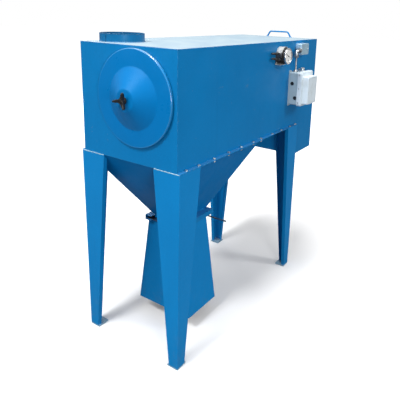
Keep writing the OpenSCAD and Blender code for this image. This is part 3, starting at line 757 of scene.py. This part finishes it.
def hand_knob():
    origin = (cover_c.x, knob_high.y, cover_c.z)
    depth = knob_high.y - knob_low.y
    reach = (knob_high.x - knob_low.x) / 2 - 0.4
    u, v, w = basis("-Y")
    start = Vector(origin)
    layers = [
        (8.6, 4.6),
        (8.9, 2.8),
        (9.9, 1.2),
        (11.6, 0.3),
        (14.6, 0.0),
        (20.0, 0.3),
        (22.8, 1.2),
        (24.6, 2.4),
        (25.6, 3.6),
    ]
    verts, faces = [], []
    for d, inset in layers:
        for x, z in arm_outline(reach, inset):
            rise = 13.0 * (math.hypot(x, z) / reach) ** 1.6
            verts.append(start + w * (d + rise) + u * x + v * z)
    steps = len(verts) // len(layers)
    n = len(layers)
    for k in range(n - 1):
        for i in range(steps):
            j = (i + 1) % steps
            faces.append([k * steps + i, k * steps + j, (k + 1) * steps + j, (k + 1) * steps + i])
    bm = bmesh.new()
    made = [bm.verts.new(p) for p in verts]
    for face in faces:
        bm.faces.new([made[i] for i in face])
    for ring in (made[:steps], made[-steps:]):
        edges = [bm.edges.get((ring[i], ring[(i + 1) % steps])) for i in range(steps)]
        bmesh.ops.triangle_fill(bm, use_beauty=True, edges=edges)
    geo = Geo().from_bm(bm)
    sleeve = [(8.6, 1.0), (16.0, 1.0), (18.6, 2.0), (19.2, 4.0), (18.4, 7.5), (16.6, 11.5), (13.6, 16.0), (8.6, 16.0)]
    geo.lathe(sleeve, origin, "-Y", 64)
    boss = [
        (0, 21.0),
        (12.6, 21.0),
        (12.4, 26.4),
        (11.4, 28.2),
        (9.8, 29.2),
        (8.2, 29.6),
        (7.0, 29.4),
        (5.6, 28.8),
        (0, 28.6),
    ]
    geo.lathe(boss, origin, "-Y", 64)
    knob = geo.build("hand_knob", M["knob"], "knob", "black_plastic", 40)
    insert = Geo().lathe([(8.5, 0), (12.5, 0), (13, 0.5), (13, 3.4), (8.5, 3.4)], origin, "-Y", 48)
    insert.build("knob_insert", M["zinc"], "knob", "zinc_steel")
    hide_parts("cover_knob")


hand_knob()


# Pressure gauge: turned housing, bezel, dial with a plain scale and a pointer
def flat_text(text, size, place, up, face, name, material, body):
    """Lettering as thin solid strokes on a face. Only for the numbers of a scale."""
    curve = bpy.data.curves.new(name, "FONT")
    curve.body = text
    curve.size = size * 0.001
    curve.align_x = "CENTER"
    curve.align_y = "CENTER"
    curve.extrude = 0.00012
    curve.resolution_u = 3
    temp = bpy.data.objects.new(name, curve)
    bpy.context.scene.collection.objects.link(temp)
    depsgraph = bpy.context.evaluated_depsgraph_get()
    mesh = bpy.data.meshes.new_from_object(temp.evaluated_get(depsgraph))
    bpy.data.objects.remove(temp)
    face, up = Vector(face), Vector(up)
    right = up.cross(face)
    for vert in mesh.vertices:
        c = vert.co
        vert.co = Vector(place) * 0.001 + right * c.x + up * c.y + face * c.z
    mesh.name = name
    mesh.materials.clear()
    mesh.materials.append(material)
    obj = bpy.data.objects.new(name, mesh)
    bpy.context.scene.collection.objects.link(obj)
    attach(obj, body)
    return obj


def gauge():
    low, high = box_mm("gauge_dial")
    c = (low + high) / 2
    r = (high.z - low.z) / 2
    x0 = low.x
    base = (x0, c.y, c.z)
    bezel = Geo().lathe(
        [
            (r - 7, 1.5),
            (r - 3, 0),
            (r - 0.8, 0.6),
            (r, 2.0),
            (r, 6.4),
            (r - 0.7, 8.2),
            (r - 2.2, 9.6),
            (r - 4.2, 10.0),
            (r - 5.6, 9.4),
            (r - 6.4, 7.6),
            (r - 6.8, 5.4),
            (r - 7, 3.0),
        ],
        base,
        "+X",
        96,
    )
    ring = bezel.build("gauge_bezel", M["bezel"], "housing", "zinc_steel")
    face = Geo().lathe(
        [(0, 1.5), (r - 6.5, 1.5), (r - 6.5, 4.6), (r - 6.9, 5.0), (0, 5.0)], base, "+X", 96
    )
    dial = face.build("gauge_face", M["white"], "housing", "white_plastic")
    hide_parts("gauge_dial")

    def polar(radius, angle, lift):
        a = math.radians(angle)
        return Vector((x0 + lift, c.y + radius * math.sin(a), c.z + radius * math.cos(a)))

    ink = Geo()
    for i in range(41):
        angle = -110 + 220 * i / 40
        long = i % 10 == 0
        middle = i % 5 == 0
        inner = r - (15.5 if long else 13.5 if middle else 12.0)
        width = 0.75 if long else 0.5 if middle else 0.32
        a = math.radians(angle)
        side = Vector((0, math.cos(a), -math.sin(a))) * width
        p, q = polar(inner, angle, 4.9), polar(r - 9.5, angle, 4.9)
        lift = Vector((0.3, 0, 0))
        ink.add(
            [p - side, p + side, q + side, q - side, p - side + lift, p + side + lift, q + side + lift, q - side + lift],
            [(0, 1, 2, 3), (7, 6, 5, 4), (0, 4, 5, 1), (1, 5, 6, 2), (2, 6, 7, 3), (3, 7, 4, 0)],
        )
    ink.ring([(r - 9.6, 4.9), (r - 9.1, 4.9), (r - 9.1, 5.2), (r - 9.6, 5.2)], base, "+X", 96)
    ink.build("gauge_scale", M["ink"], "housing", "black_plastic")
    for i in range(5):
        angle = -110 + 55 * i
        place = polar(r - 21.5, angle, 5.05)
        flat_text(
            str(i),
            9.0,
            place,
            (0, 0, 1),
            (1, 0, 0),
            f"gauge_number_{i}",
            M["ink"],
            "housing",
        )
    angle = -64.0
    a = math.radians(angle)
    along = Vector((0, math.sin(a), math.cos(a)))
    side = Vector((0, math.cos(a), -math.sin(a)))
    hub = Vector((x0 + 5.0, c.y, c.z))
    lift = Vector((0.9, 0, 0))
    needle = Geo()
    outline = [
        along * -13 - side * 1.8,
        along * -13 + side * 1.8,
        along * 4 + side * 1.5,
        along * (r - 13.5) + side * 0.25,
        along * (r - 13.5) - side * 0.25,
        along * 4 - side * 1.5,
    ]
    n = len(outline)
    needle.add(
        [hub + Vector((0.9, 0, 0)) + p for p in outline] + [hub + Vector((0.9, 0, 0)) + lift + p for p in outline],
        [list(reversed(range(n))), list(range(n, 2 * n))]
        + [[i, (i + 1) % n, (i + 1) % n + n, i + n] for i in range(n)],
    )
    needle.lathe([(0, 0), (4.2, 0), (4.2, 2.6), (3.4, 3.6), (0, 3.8)], hub, "+X", 32)
    needle.build("gauge_needle", M["ink"], "housing", "black_plastic")
    screw = Geo()
    pan_screw(screw, (x0 + 5.0, c.y, c.z - 26), "+X", 3.4, 2.0)
    screw.build("gauge_zero_screw", M["zinc"], "housing", "zinc_steel")


gauge()


# Edges of folded and cut sheet are a little round
ROUND_EDGES = {
    "front_wall": 1.2,
    "left_wall": 1.2,
    "right_wall": 1.2,
    "rear_wall": 1.2,
    "roof": 1.2,
    "fan_box_front": 1.0,
    "fan_box_floor": 1.0,
    "front_left_leg": 1.3,
    "front_right_leg": 1.3,
    "rear_left_leg": 1.3,
    "rear_right_leg": 1.3,
    "front_left_foot": 1.2,
    "front_right_foot": 1.2,
    "rear_left_foot": 1.2,
    "rear_right_foot": 1.2,
    "drop_chute": 1.0,
    "left_gate_rail": 1.2,
    "right_gate_rail": 1.2,
    "gate_blade": 0.8,
    "gauge_bracket": 0.8,
    "junction_box": 1.4,
    "enclosure_base": 1.6,
    "enclosure_lid": 2.4,
}
for name, width in ROUND_EDGES.items():
    made = NODES[name].modifiers.new("edge", "BEVEL")
    made.width = width * 0.001
    made.segments = 2
    made.limit_method = "ANGLE"
    made.angle_limit = math.radians(38)
    made.use_clamp_overlap = True


def ground_bead(geo, start, end, radius=1.7, step=45.0):
    """Corner weld that was ground nearly flat: a low, slightly uneven strip."""
    a, b = Vector(start), Vector(end)
    count = max(3, int((b - a).length / step))
    points = [a.lerp(b, i / count) for i in range(count + 1)]
    radii = [radius * (1 + 0.10 * math.sin(i * 2.1) + 0.06 * math.sin(i * 0.7)) for i in range(count + 1)]
    geo.tube(points, radius, 10, radii)


def cabinet_seams():
    geo = Geo()
    sink = 0.9
    seam_z = top_z - sheet
    seam_y = front_y + sheet
    for side in (-1, 1):
        x = side * (side_x - sink)
        ground_bead(geo, (x, seam_y, stand_h + 4), (x, seam_y, seam_z))
        ground_bead(geo, (x, front_y + 3, seam_z), (x, rear_y - 3, seam_z))
        ground_bead(geo, (x, rear_y - sheet, fan_floor_z + 4), (x, rear_y - sheet, seam_z))
    ground_bead(geo, (-side_x + 3, front_y + sink, seam_z), (side_x - 3, front_y + sink, seam_z))
    geo.build("cabinet_seams", M["blue"], "housing", "blue_paint", 60)


cabinet_seams()


def mirrored(points, sx, sy):
    return [(sx * x, sy * y, z) for x, y, z in points]


# Pale bead where the front legs' tops meet the front wall: drawn as sealant, its pale colour a painted highlight along
# the leg tops
def leg_sealant(side, name):
    geo = Geo()
    node = box_mm(f"front_{name}_leg")
    top = node[1].z
    y = node[0].y
    inner = min(abs(node[0].x), abs(node[1].x))
    outer = max(abs(node[0].x), abs(node[1].x))
    points, radii = [], []
    count = 34
    for i in range(count + 1):
        t = i / count
        x = side * (inner + 2 + (outer - inner - 4) * t)
        points.append((x, y + 1.3 + 0.3 * math.sin(i * 1.9), top + 1.3 + 0.5 * math.sin(i * 0.9)))
        radii.append(2.1 + 0.4 * math.sin(i * 1.3) + 0.3 * math.sin(i * 3.1))
    radii[0] = radii[-1] = 1.0
    geo.tube(points, 2.5, 10, radii)
    geo.build(f"leg_sealant_{name}", M["sealant"], "housing", "blue_paint", 60)


leg_sealant(1, "right")
leg_sealant(-1, "left")


def foot_welds():
    """Fillets along the inner faces of each leg where it stands on its plate."""
    geo = Geo()
    for sx in (-1, 1):
        for sy, row in ((-1, "front"), (1, "rear")):
            low, high = box_mm(f"{row}_{'right' if sx > 0 else 'left'}_foot")
            outer_x = max(abs(low.x), abs(high.x))
            outer_y = max(abs(low.y), abs(high.y))
            z = high.z + 0.8
            x0, x1 = outer_x - 57, outer_x - 4
            y0, y1 = outer_y - 57, outer_y - 4
            for line in (
                ((x0, outer_y - 3.6, z), (x1, outer_y - 3.6, z)),
                ((outer_x - 3.6, y0, z), (outer_x - 3.6, y1, z)),
                ((x0 - 3.4, outer_y - 2, z), (x0 - 3.4, outer_y - 23, z)),
                ((outer_x - 2, y0 - 3.4, z), (outer_x - 23, y0 - 3.4, z)),
            ):
                a, b = mirrored(line, sx, sy)
                weld(geo, a, b, 2.6, 6.0)
    geo.build("foot_welds", M["blue"], "housing", "blue_paint", 60)


foot_welds()


def hopper_welds():
    geo = Geo()
    low, high = box_mm("hopper")
    rail_low, rail_high = box_mm("right_gate_rail")
    z0, z1 = rail_high.z + 1, stand_h - sheet
    ox, y0, y1 = rail_low.x, outlet_y - outlet_l / 2, outlet_y + outlet_l / 2
    top_front, top_rear = front_y + sheet, hopper_rear
    for side in (-1, 1):
        for yl, yh in ((y0, top_front), (y1, top_rear)):
            a = Vector((side * (ox + 0.2), yl, z0))
            b = Vector((side * side_x, yh, stand_h))
            t = (z1 - 1 - z0) / (stand_h - z0)
            ground_bead(geo, a, a.lerp(b, t), 1.9, 26.0)
        for y in (outlet_y - 95, outlet_y, outlet_y + 95):
            weld(geo, (side * (ox + 1.6), y - 18, rail_high.z + 1), (side * (ox + 1.6), y + 18, rail_high.z + 1), 2.6, 6)
    geo.build("hopper_welds", M["blue"], "housing", "blue_paint", 60)


def chute_welds():
    geo = Geo()
    low, high = box_mm("drop_chute")
    rail_low, rail_high = box_mm("right_gate_rail")
    cy = (low.y + high.y) / 2
    hx, hy = chute_top
    for side in (-1, 1):
        for end in (-1, 1):
            ground_bead(
                geo,
                (side * (high.x - 0.8), cy + end * (high.y - cy - 0.8), low.z + 1),
                (side * (hx - 0.8), cy + end * (hy - 0.8), high.z - 1),
                1.7,
                24.0,
            )
        for y in (cy - 70, cy, cy + 70):
            weld(geo, (side * (hx + 1.2), y - 16, rail_low.z - 1), (side * (hx + 1.2), y + 16, rail_low.z - 1), 2.4, 6)
    geo.build("chute_welds", M["blue"], "housing", "blue_paint", 60)


# The hopper's outlet is 186 by 270, centred 440 behind the front; the chute's top is 264 by 228
outlet_y, outlet_l = front_y + 440, 270
chute_top = (132, 114)
hopper_welds()
chute_welds()


def collar_seam():
    """Rolled collar closed by one upright weld, inside and out. The welds and a thin band under the top edge are
    painted dark: painted shade, as of a groove.
    """
    geo = Geo()
    low, high = box_mm("duct_collar")
    c = (low + high) / 2
    r = (high.x - low.x) / 2 - 4
    d = Vector((0.024, -1.0, 0)).normalized()
    for radius, bead in ((r - 0.6, 2.6), (r - sheet + 0.2, 1.2)):
        a = Vector((c.x, c.y, top_z + 4.5)) + d * radius
        b = Vector((c.x, c.y, high.z - 1.6)) + d * radius
        weld(geo, a, b, bead, 4.0)
    geo.ring(
        [(r - 0.4, high.z - 1.4 - c.z), (r + 0.5, high.z - 2.2 - c.z), (r + 0.5, high.z - 4.2 - c.z), (r - 0.4, high.z - 5.0 - c.z)],
        c,
        "+Z",
        96,
    )
    geo.build("collar_seam", M["seam"], "housing", "blue_paint", 60)


collar_seam()


def handle_welds():
    geo = Geo()
    low, high = box_mm("roof_handle")
    y = (low.y + high.y) / 2
    for x in (low.x + 7.2, high.x - 7.2):
        geo.lathe(
            [(3, 0), (11.2, 0), (10.4, 0.9), (9.0, 2.0), (8.0, 3.4), (7.2, 5.2), (3, 5.2)],
            (x, y, top_z),
            "+Z",
            40,
        )
    geo.build("handle_welds", M["blue"], "housing", "blue_paint", 60)


handle_welds()


# Fittings on the right wall
def rounded_outline(cy, cz, half_y, half_z, r, steps=7):
    points = []
    for k, (sy, sz) in enumerate(((1, 1), (-1, 1), (-1, -1), (1, -1))):
        for i in range(steps + 1):
            a = math.pi / 2 * (k + i / steps)
            points.append((cy + sy * (half_y - r) + r * math.cos(a), cz + sz * (half_z - r) + r * math.sin(a)))
    return points


def enclosure_trim():
    low, high = box_mm("enclosure_lid")
    base_low, base_high = box_mm("enclosure_base")
    cy = (low.y + high.y) / 2
    rim_x = low.x
    half_y = (high.y - low.y) / 2 - 6
    cz = (low.z + high.z) / 2
    half_z = (high.z - low.z) / 2 - 6
    outer = rounded_outline(cy, cz, half_y - 1.2, half_z - 1.2, 7.5)
    inner = rounded_outline(cy, cz, half_y - 3.4, half_z - 3.4, 6.0)
    geo = Geo()
    n = len(outer)
    verts = [(x, y, z) for x in (rim_x - 2.8, rim_x - 0.2) for loop in (outer, inner) for y, z in loop]
    faces = []
    for i in range(n):
        j = (i + 1) % n
        faces.append((i, j, n + j, n + i))
        faces.append((2 * n + i, 3 * n + i, 3 * n + j, 2 * n + j))
        faces.append((i, 2 * n + i, 2 * n + j, j))
        faces.append((n + i, n + j, 3 * n + j, 3 * n + i))
    geo.add(verts, faces)
    geo.build("enclosure_gasket", M["rubber"], "housing", "seal_rubber", 40)

    screws = Geo()
    for z in (cz + 98, cz + 4, cz - 92):
        pan_screw(screws, (rim_x + 12, low.y, z), "-Y", 4.2, 2.2)
        pan_screw(screws, (rim_x + 12, high.y, z), "+Y", 4.2, 2.2)
    for sy in (-1, 1):
        for sz in (-1, 1):
            place = (base_low.x + 5, cy + sy * 73, cz + sz * 116.5)
            screws.lathe([(0, 0), (5.6, 0), (5.6, 0.8), (5.2, 1.2), (0, 1.2)], place, "+X", 20)
            pan_screw(screws, (place[0] + 1.1, place[1], place[2]), "+X", 3.9, 2.6)
    screws.build("enclosure_screws", M["zinc"], "housing", "zinc_steel")

    rib = Geo()
    face_x = high.x
    cap_y = (cy - half_y + 16, cy + half_y - 16)
    cap_z = (cz - half_z + 8, cz + half_z - 24)
    inset = 11
    for y in (cap_y[0] + inset, cap_y[1] - inset):
        rib.span((face_x - 1.2, y - 1.0, cap_z[0] + inset), (face_x - 0.0, y + 1.0, cap_z[1] - inset), 0.5)
    for z in (cap_z[0] + inset, cap_z[1] - inset):
        rib.span((face_x - 1.2, cap_y[0] + inset, z - 1.0), (face_x - 0.0, cap_y[1] - inset, z + 1.0), 0.5)
    rib.build("enclosure_ribs", M["pale"], "housing", "pale_plastic", 60)

    plugs = Geo()
    plug_low, plug_high = box_mm("hole_plugs")
    reach = 10.7
    face_y = base_low.y
    for x, z in ((plug_low.x + reach, plug_high.z - reach), (plug_high.x - reach, plug_low.z + reach)):
        plugs.lathe(
            [
                (0, 1.0),
                (4.2, 1.0),
                (5.4, 1.6),
                (8.6, 2.3),
                (10.8, 2.0),
                (12.2, 1.2),
                (12.8, 0.0),
                (10.6, -0.2),
                (10.6, -3.5),
                (0, -3.5),
            ],
            (x, face_y, z),
            "-Y",
            40,
        )
    made = plugs.build("snap_plugs", M["black"], "housing", "black_plastic", 40)
    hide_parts("hole_plugs")


enclosure_trim()


def cable_clamp():
    """Box connector: lock nut, threaded neck and a clamp bar under two screws."""
    low, high = box_mm("cable_fitting")
    c = (low + high) / 2
    base = (c.x, c.y, low.z)
    geo = Geo()
    geo.prism(hexagon(35, 0.2), base, "+Z", 0, 5, 1.0)
    geo.lathe([(0, 4), (15, 4), (15.6, 5), (15.6, 9), (14.6, 10), (0, 10)], base, "+Z", 40)
    geo.ring([(9.5, 9), (14.4, 9), (14.4, 22), (13.2, 24), (10.4, 24), (9.5, 22.6)], base, "+Z", 40)
    geo.span((c.x - 7, c.y - 17, low.z + 12), (c.x + 7, c.y + 17, low.z + 20), 2.0, 3)
    geo.build("cable_clamp", M["galvanised"], "housing", "zinc_steel", 40)
    screws = Geo()
    for dy in (-12.4, 12.4):
        screws.lathe([(0, 19), (2.2, 19), (2.2, 22.4), (0, 22.4)], (c.x, c.y + dy, low.z), "+Z", 16)
        pan_screw(screws, (c.x, c.y + dy, low.z + 22), "+Z", 4.4, 3.4)
    top = screws.build("cable_clamp_screws", M["zinc"], "housing", "zinc_steel")
    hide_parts("cable_fitting")


cable_clamp()


def conduit_trim():
    low, high = box_mm("junction_box")
    elbow_low, elbow_high = box_mm("conduit_elbow")
    gland_low, gland_high = box_mm("conduit_gland")
    cy, cz = (low.y + high.y) / 2, (low.z + high.z) / 2
    geo = Geo()
    for dy in (-50.5, 50.5):
        pan_screw(geo, (high.x, cy + dy, cz), "+X", 4.6, 2.6)
    ex = (elbow_low.x + elbow_high.x) / 2
    ez = cz - 6
    geo.lathe([(12, 0), (17.6, 0), (18, 0.8), (18, 3.2), (17.2, 4), (12, 4)], (ex, low.y, ez), "-Y", 8)
    pan_screw(geo, (ex + 11.6, elbow_low.y + 15, elbow_low.z + 17), "+X", 3.6, 2.8)
    geo.lathe(
        [(6.4, 0), (9.2, 0), (9.8, 0.8), (9.8, 3.6), (9.0, 4.4), (6.4, 4.4)],
        (ex, (gland_low.y + gland_high.y) / 2, elbow_low.z - 4),
        "+Z",
        32,
    )
    gy = (gland_low.y + gland_high.y) / 2
    geo.prism(hexagon(27, 0.35), (ex, gy, gland_low.z), "+Z", 7.6, 12.8, 1.0)
    geo.build("conduit_fittings", M["zinc"], "housing", "zinc_steel")

    knock = Geo()
    for x, z in ((low.x + 21, cz + 22),):
        knock.ring([(8.8, 0), (9.6, 0), (9.6, 0.35), (8.8, 0.35)], (x, low.y, z), "-Y", 32)
    for y in (cy - 28, cy + 28):
        knock.ring([(8.8, 0), (9.6, 0), (9.6, 0.35), (8.8, 0.35)], (low.x + 21, y, low.z), "-Z", 32)
        knock.ring([(8.8, 0), (9.6, 0), (9.6, 0.35), (8.8, 0.35)], (low.x + 21, y, high.z), "+Z", 32)
    knock.build("knockouts", M["zinc"], "housing", "zinc_steel", 60)


conduit_trim()


def arched_bracket():
    """Bent plate with a foot below, a clamp round the gauge and an arched hood over it."""
    low, high = box_mm("gauge_body")
    c = (low + high) / 2
    origin = Vector((side_x, c.y, c.z))
    r = (high.z - low.z) / 2
    half, drop, deep = 59, 52, 38
    arch = [(half * math.cos(TAU / 64 * i), half * math.sin(TAU / 64 * i)) for i in range(33)]
    geo = Geo()
    geo.prism([(-half, -drop), (half, -drop)] + arch, origin, "+X", 0, sheet)
    geo.span(
        (origin.x, c.y - half, c.z - drop - sheet),
        (origin.x + deep, c.y + half, c.z - drop),
        0.8,
    )
    geo.ring([(r + 0.3, 5), (r + 3.9, 5), (r + 3.9, 17), (r + 0.3, 17)], origin, "+X", 96)
    hood = [(56.4, 1), (58.6, 1), (58.6, 41), (57.5, 42), (56.4, 41)]
    hood += [(56.4, 17), (52.6, 17), (52.6, 14.5), (56.4, 14.5)]
    steps, n = 48, len(hood)
    start, sweep = math.radians(-8), math.radians(196)
    verts, faces = [], []
    for i in range(steps + 1):
        a = start + sweep * i / steps
        d = Vector((0, math.cos(a), math.sin(a)))
        verts += [origin + d * radius + Vector((x, 0, 0)) for radius, x in hood]
    for i in range(steps):
        for k in range(n):
            m = (k + 1) % n
            faces.append([i * n + k, (i + 1) * n + k, (i + 1) * n + m, i * n + m])
    faces += [list(range(n)), [steps * n + k for k in range(n)]]
    geo.add(verts, faces)
    bracket = geo.build("arched_bracket", M["bracket"], "housing", "zinc_steel", 35)
    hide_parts("gauge_bracket")


arched_bracket()


def gauge_trim():
    low, high = box_mm("gauge_body")
    c = (low + high) / 2
    bracket_low, bracket_high = box_mm("gauge_bracket")
    r = (high.z - low.z) / 2
    x0 = side_x
    ribs = Geo()
    for x in (low.x + 33, low.x + 38, low.x + 43, low.x + 48):
        ribs.ring([(r - 0.6, 0), (r + 0.9, 0.5), (r + 0.9, 2.0), (r - 0.6, 2.5)], (x, c.y, c.z), "+X", 96)
    ribs.lathe([(0, 0), (20, 0), (21, 1), (21, 5), (0, 5)], (x0 + 27, c.y + 0.01, c.z + r - 2.4), "+Z", 24)
    ribs.build("gauge_ribs", M["black"], "housing", "black_plastic", 40)

    metal = Geo()
    for dy in (-1, 1):
        pan_screw(metal, (x0 + sheet, c.y + dy * 52, c.z - 43), "+X", 4.2, 2.6)
    metal.build("gauge_screws", M["zinc"], "housing", "zinc_steel", 40)

    ports_low, ports_high = box_mm("gauge_ports")
    px = (ports_low.x + ports_high.x) / 2
    barbs = Geo()
    end = ports_low.y
    for dz in (-18, 18):
        base = (px, end, c.z + dz)
        barbs.prism(hexagon(13, 0.4), (px, end + 18, c.z + dz), "-Y", 0, 7, 0.8)
        for k in range(3):
            barbs.lathe(
                [(2.4, 0.4), (3.2, 0.4), (4.5, 3.2), (4.5, 3.8), (3.2, 4.0), (2.4, 4.0)],
                (px, end + k * 4.2, c.z + dz),
                "+Y",
                24,
            )
    barbs.build("gauge_barbs", M["zinc"], "housing", "zinc_steel", 40)

    caps = Geo()
    for dz in (-18, 18):
        points = []
        for i in range(9):
            t = i / 8
            points.append((px - 11 * t * t, end + 9 - 76 * t, c.z + dz * (1 - 0.15 * t) + 5 * t))
        caps.tube(points, 7.0, 20, [6.0, 7.3, 7.3, 7.0, 7.0, 7.0, 7.0, 6.6, 4.4])
    caps.build("gauge_port_caps", M["black"], "housing", "black_plastic", 40)


gauge_trim()


# Inside: filter cartridge and the sealing ring, seen when the cover is off
def filter_pack():
    low, high = box_mm("filter_cartridge")
    c = (low + high) / 2
    length = high.y - low.y
    origin = (c.x, high.y, c.z)
    outer, inner = (high.x - low.x) / 2 - 3, (high.x - low.x) / 2 - 41
    bore = 85.0
    folds = 150
    u, v, w = basis("-Y")
    start = Vector(origin)
    verts, faces = [], []
    layers = [11.0, length - 11.0]
    loop = []
    for i in range(folds):
        for k, r in enumerate((outer - 0.6, outer, outer - 0.6, inner)):
            a = TAU * (i + (-0.09, 0, 0.09, 0.5)[k]) / folds
            loop.append((math.cos(a) * r, math.sin(a) * r))
    core = [(math.cos(TAU * i / 120) * (bore + 3), math.sin(TAU * i / 120) * (bore + 3)) for i in range(120)]
    for d in layers:
        verts += [start + w * d + u * x + v * y for x, y in loop]
    n = len(loop)
    for i in range(n):
        j = (i + 1) % n
        faces.append((i, j, n + j, n + i))
    pleat = Geo().add(verts, faces)
    paper = pleat.build("filter_pleats", M["paper"], "housing", "filter_media", 20)
    tube = Geo().ring([(bore + 1.2, 9), (bore + 2.4, 9), (bore + 2.4, length - 9), (bore + 1.2, length - 9)], origin, "-Y", 96)
    tube.build("filter_core", M["mesh"], "housing", "zinc_steel", 40)
    caps = Geo()
    rim = (high.x - low.x) / 2
    for at, axis in ((0.0, "-Y"), (length, "+Y")):
        base = (c.x, high.y - at, c.z)
        caps.ring(
            [
                (bore, 0.6),
                (bore + 1.2, 0.0),
                (bore + 10, 0.0),
                (bore + 12, 1.4),
                (rim - 12, 1.4),
                (rim - 10, 0.0),
                (rim - 1.4, 0.0),
                (rim, 1.4),
                (rim, 13.2),
                (rim - 0.8, 14),
                (rim - 1.6, 13.2),
                (rim - 1.6, 4.0),
                (bore + 2.0, 4.0),
                (bore + 2.0, 13.4),
                (bore, 13.4),
            ],
            base,
            axis,
            120,
        )
    for k in (0.28, 0.5, 0.72):
        caps.ring(
            [(outer - 0.2, 0), (outer + 0.9, 0), (outer + 0.9, 12), (outer - 0.2, 12)],
            (c.x, high.y - length * k, c.z),
            "-Y",
            120,
        )
    ends = caps.build("filter_caps", M["galvanised"], "housing", "zinc_steel", 30)
    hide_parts("filter_cartridge")


filter_pack()


def seal_ring():
    low, high = box_mm("cover_seal")
    c = (low + high) / 2
    outer = (high.x - low.x) / 2
    inner = outer - 15
    depth = high.y - low.y
    profile = []
    for x, y, r in ((outer, depth, 3.5), (inner, depth, 3.5), (inner, 0, 1.0), (outer, 0, 1.0)):
        sx = -1 if x == outer else 1
        sy = -1 if y == depth else 1
        for i in range(4):
            a = math.pi / 2 * i / 3
            if (sx, sy) in ((-1, -1), (1, 1)):
                dx, dy = math.cos(a), math.sin(a)
            else:
                dx, dy = math.sin(a), math.cos(a)
            profile.append((x + sx * r - sx * r * dx, y + sy * r - sy * r * dy))
    geo = Geo().ring(profile, (c.x, low.y, c.z), "+Y", 144)
    made = geo.build("seal_ring", M["rubber"], "cover", "seal_rubber", 40)
    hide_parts("cover_seal")


seal_ring()
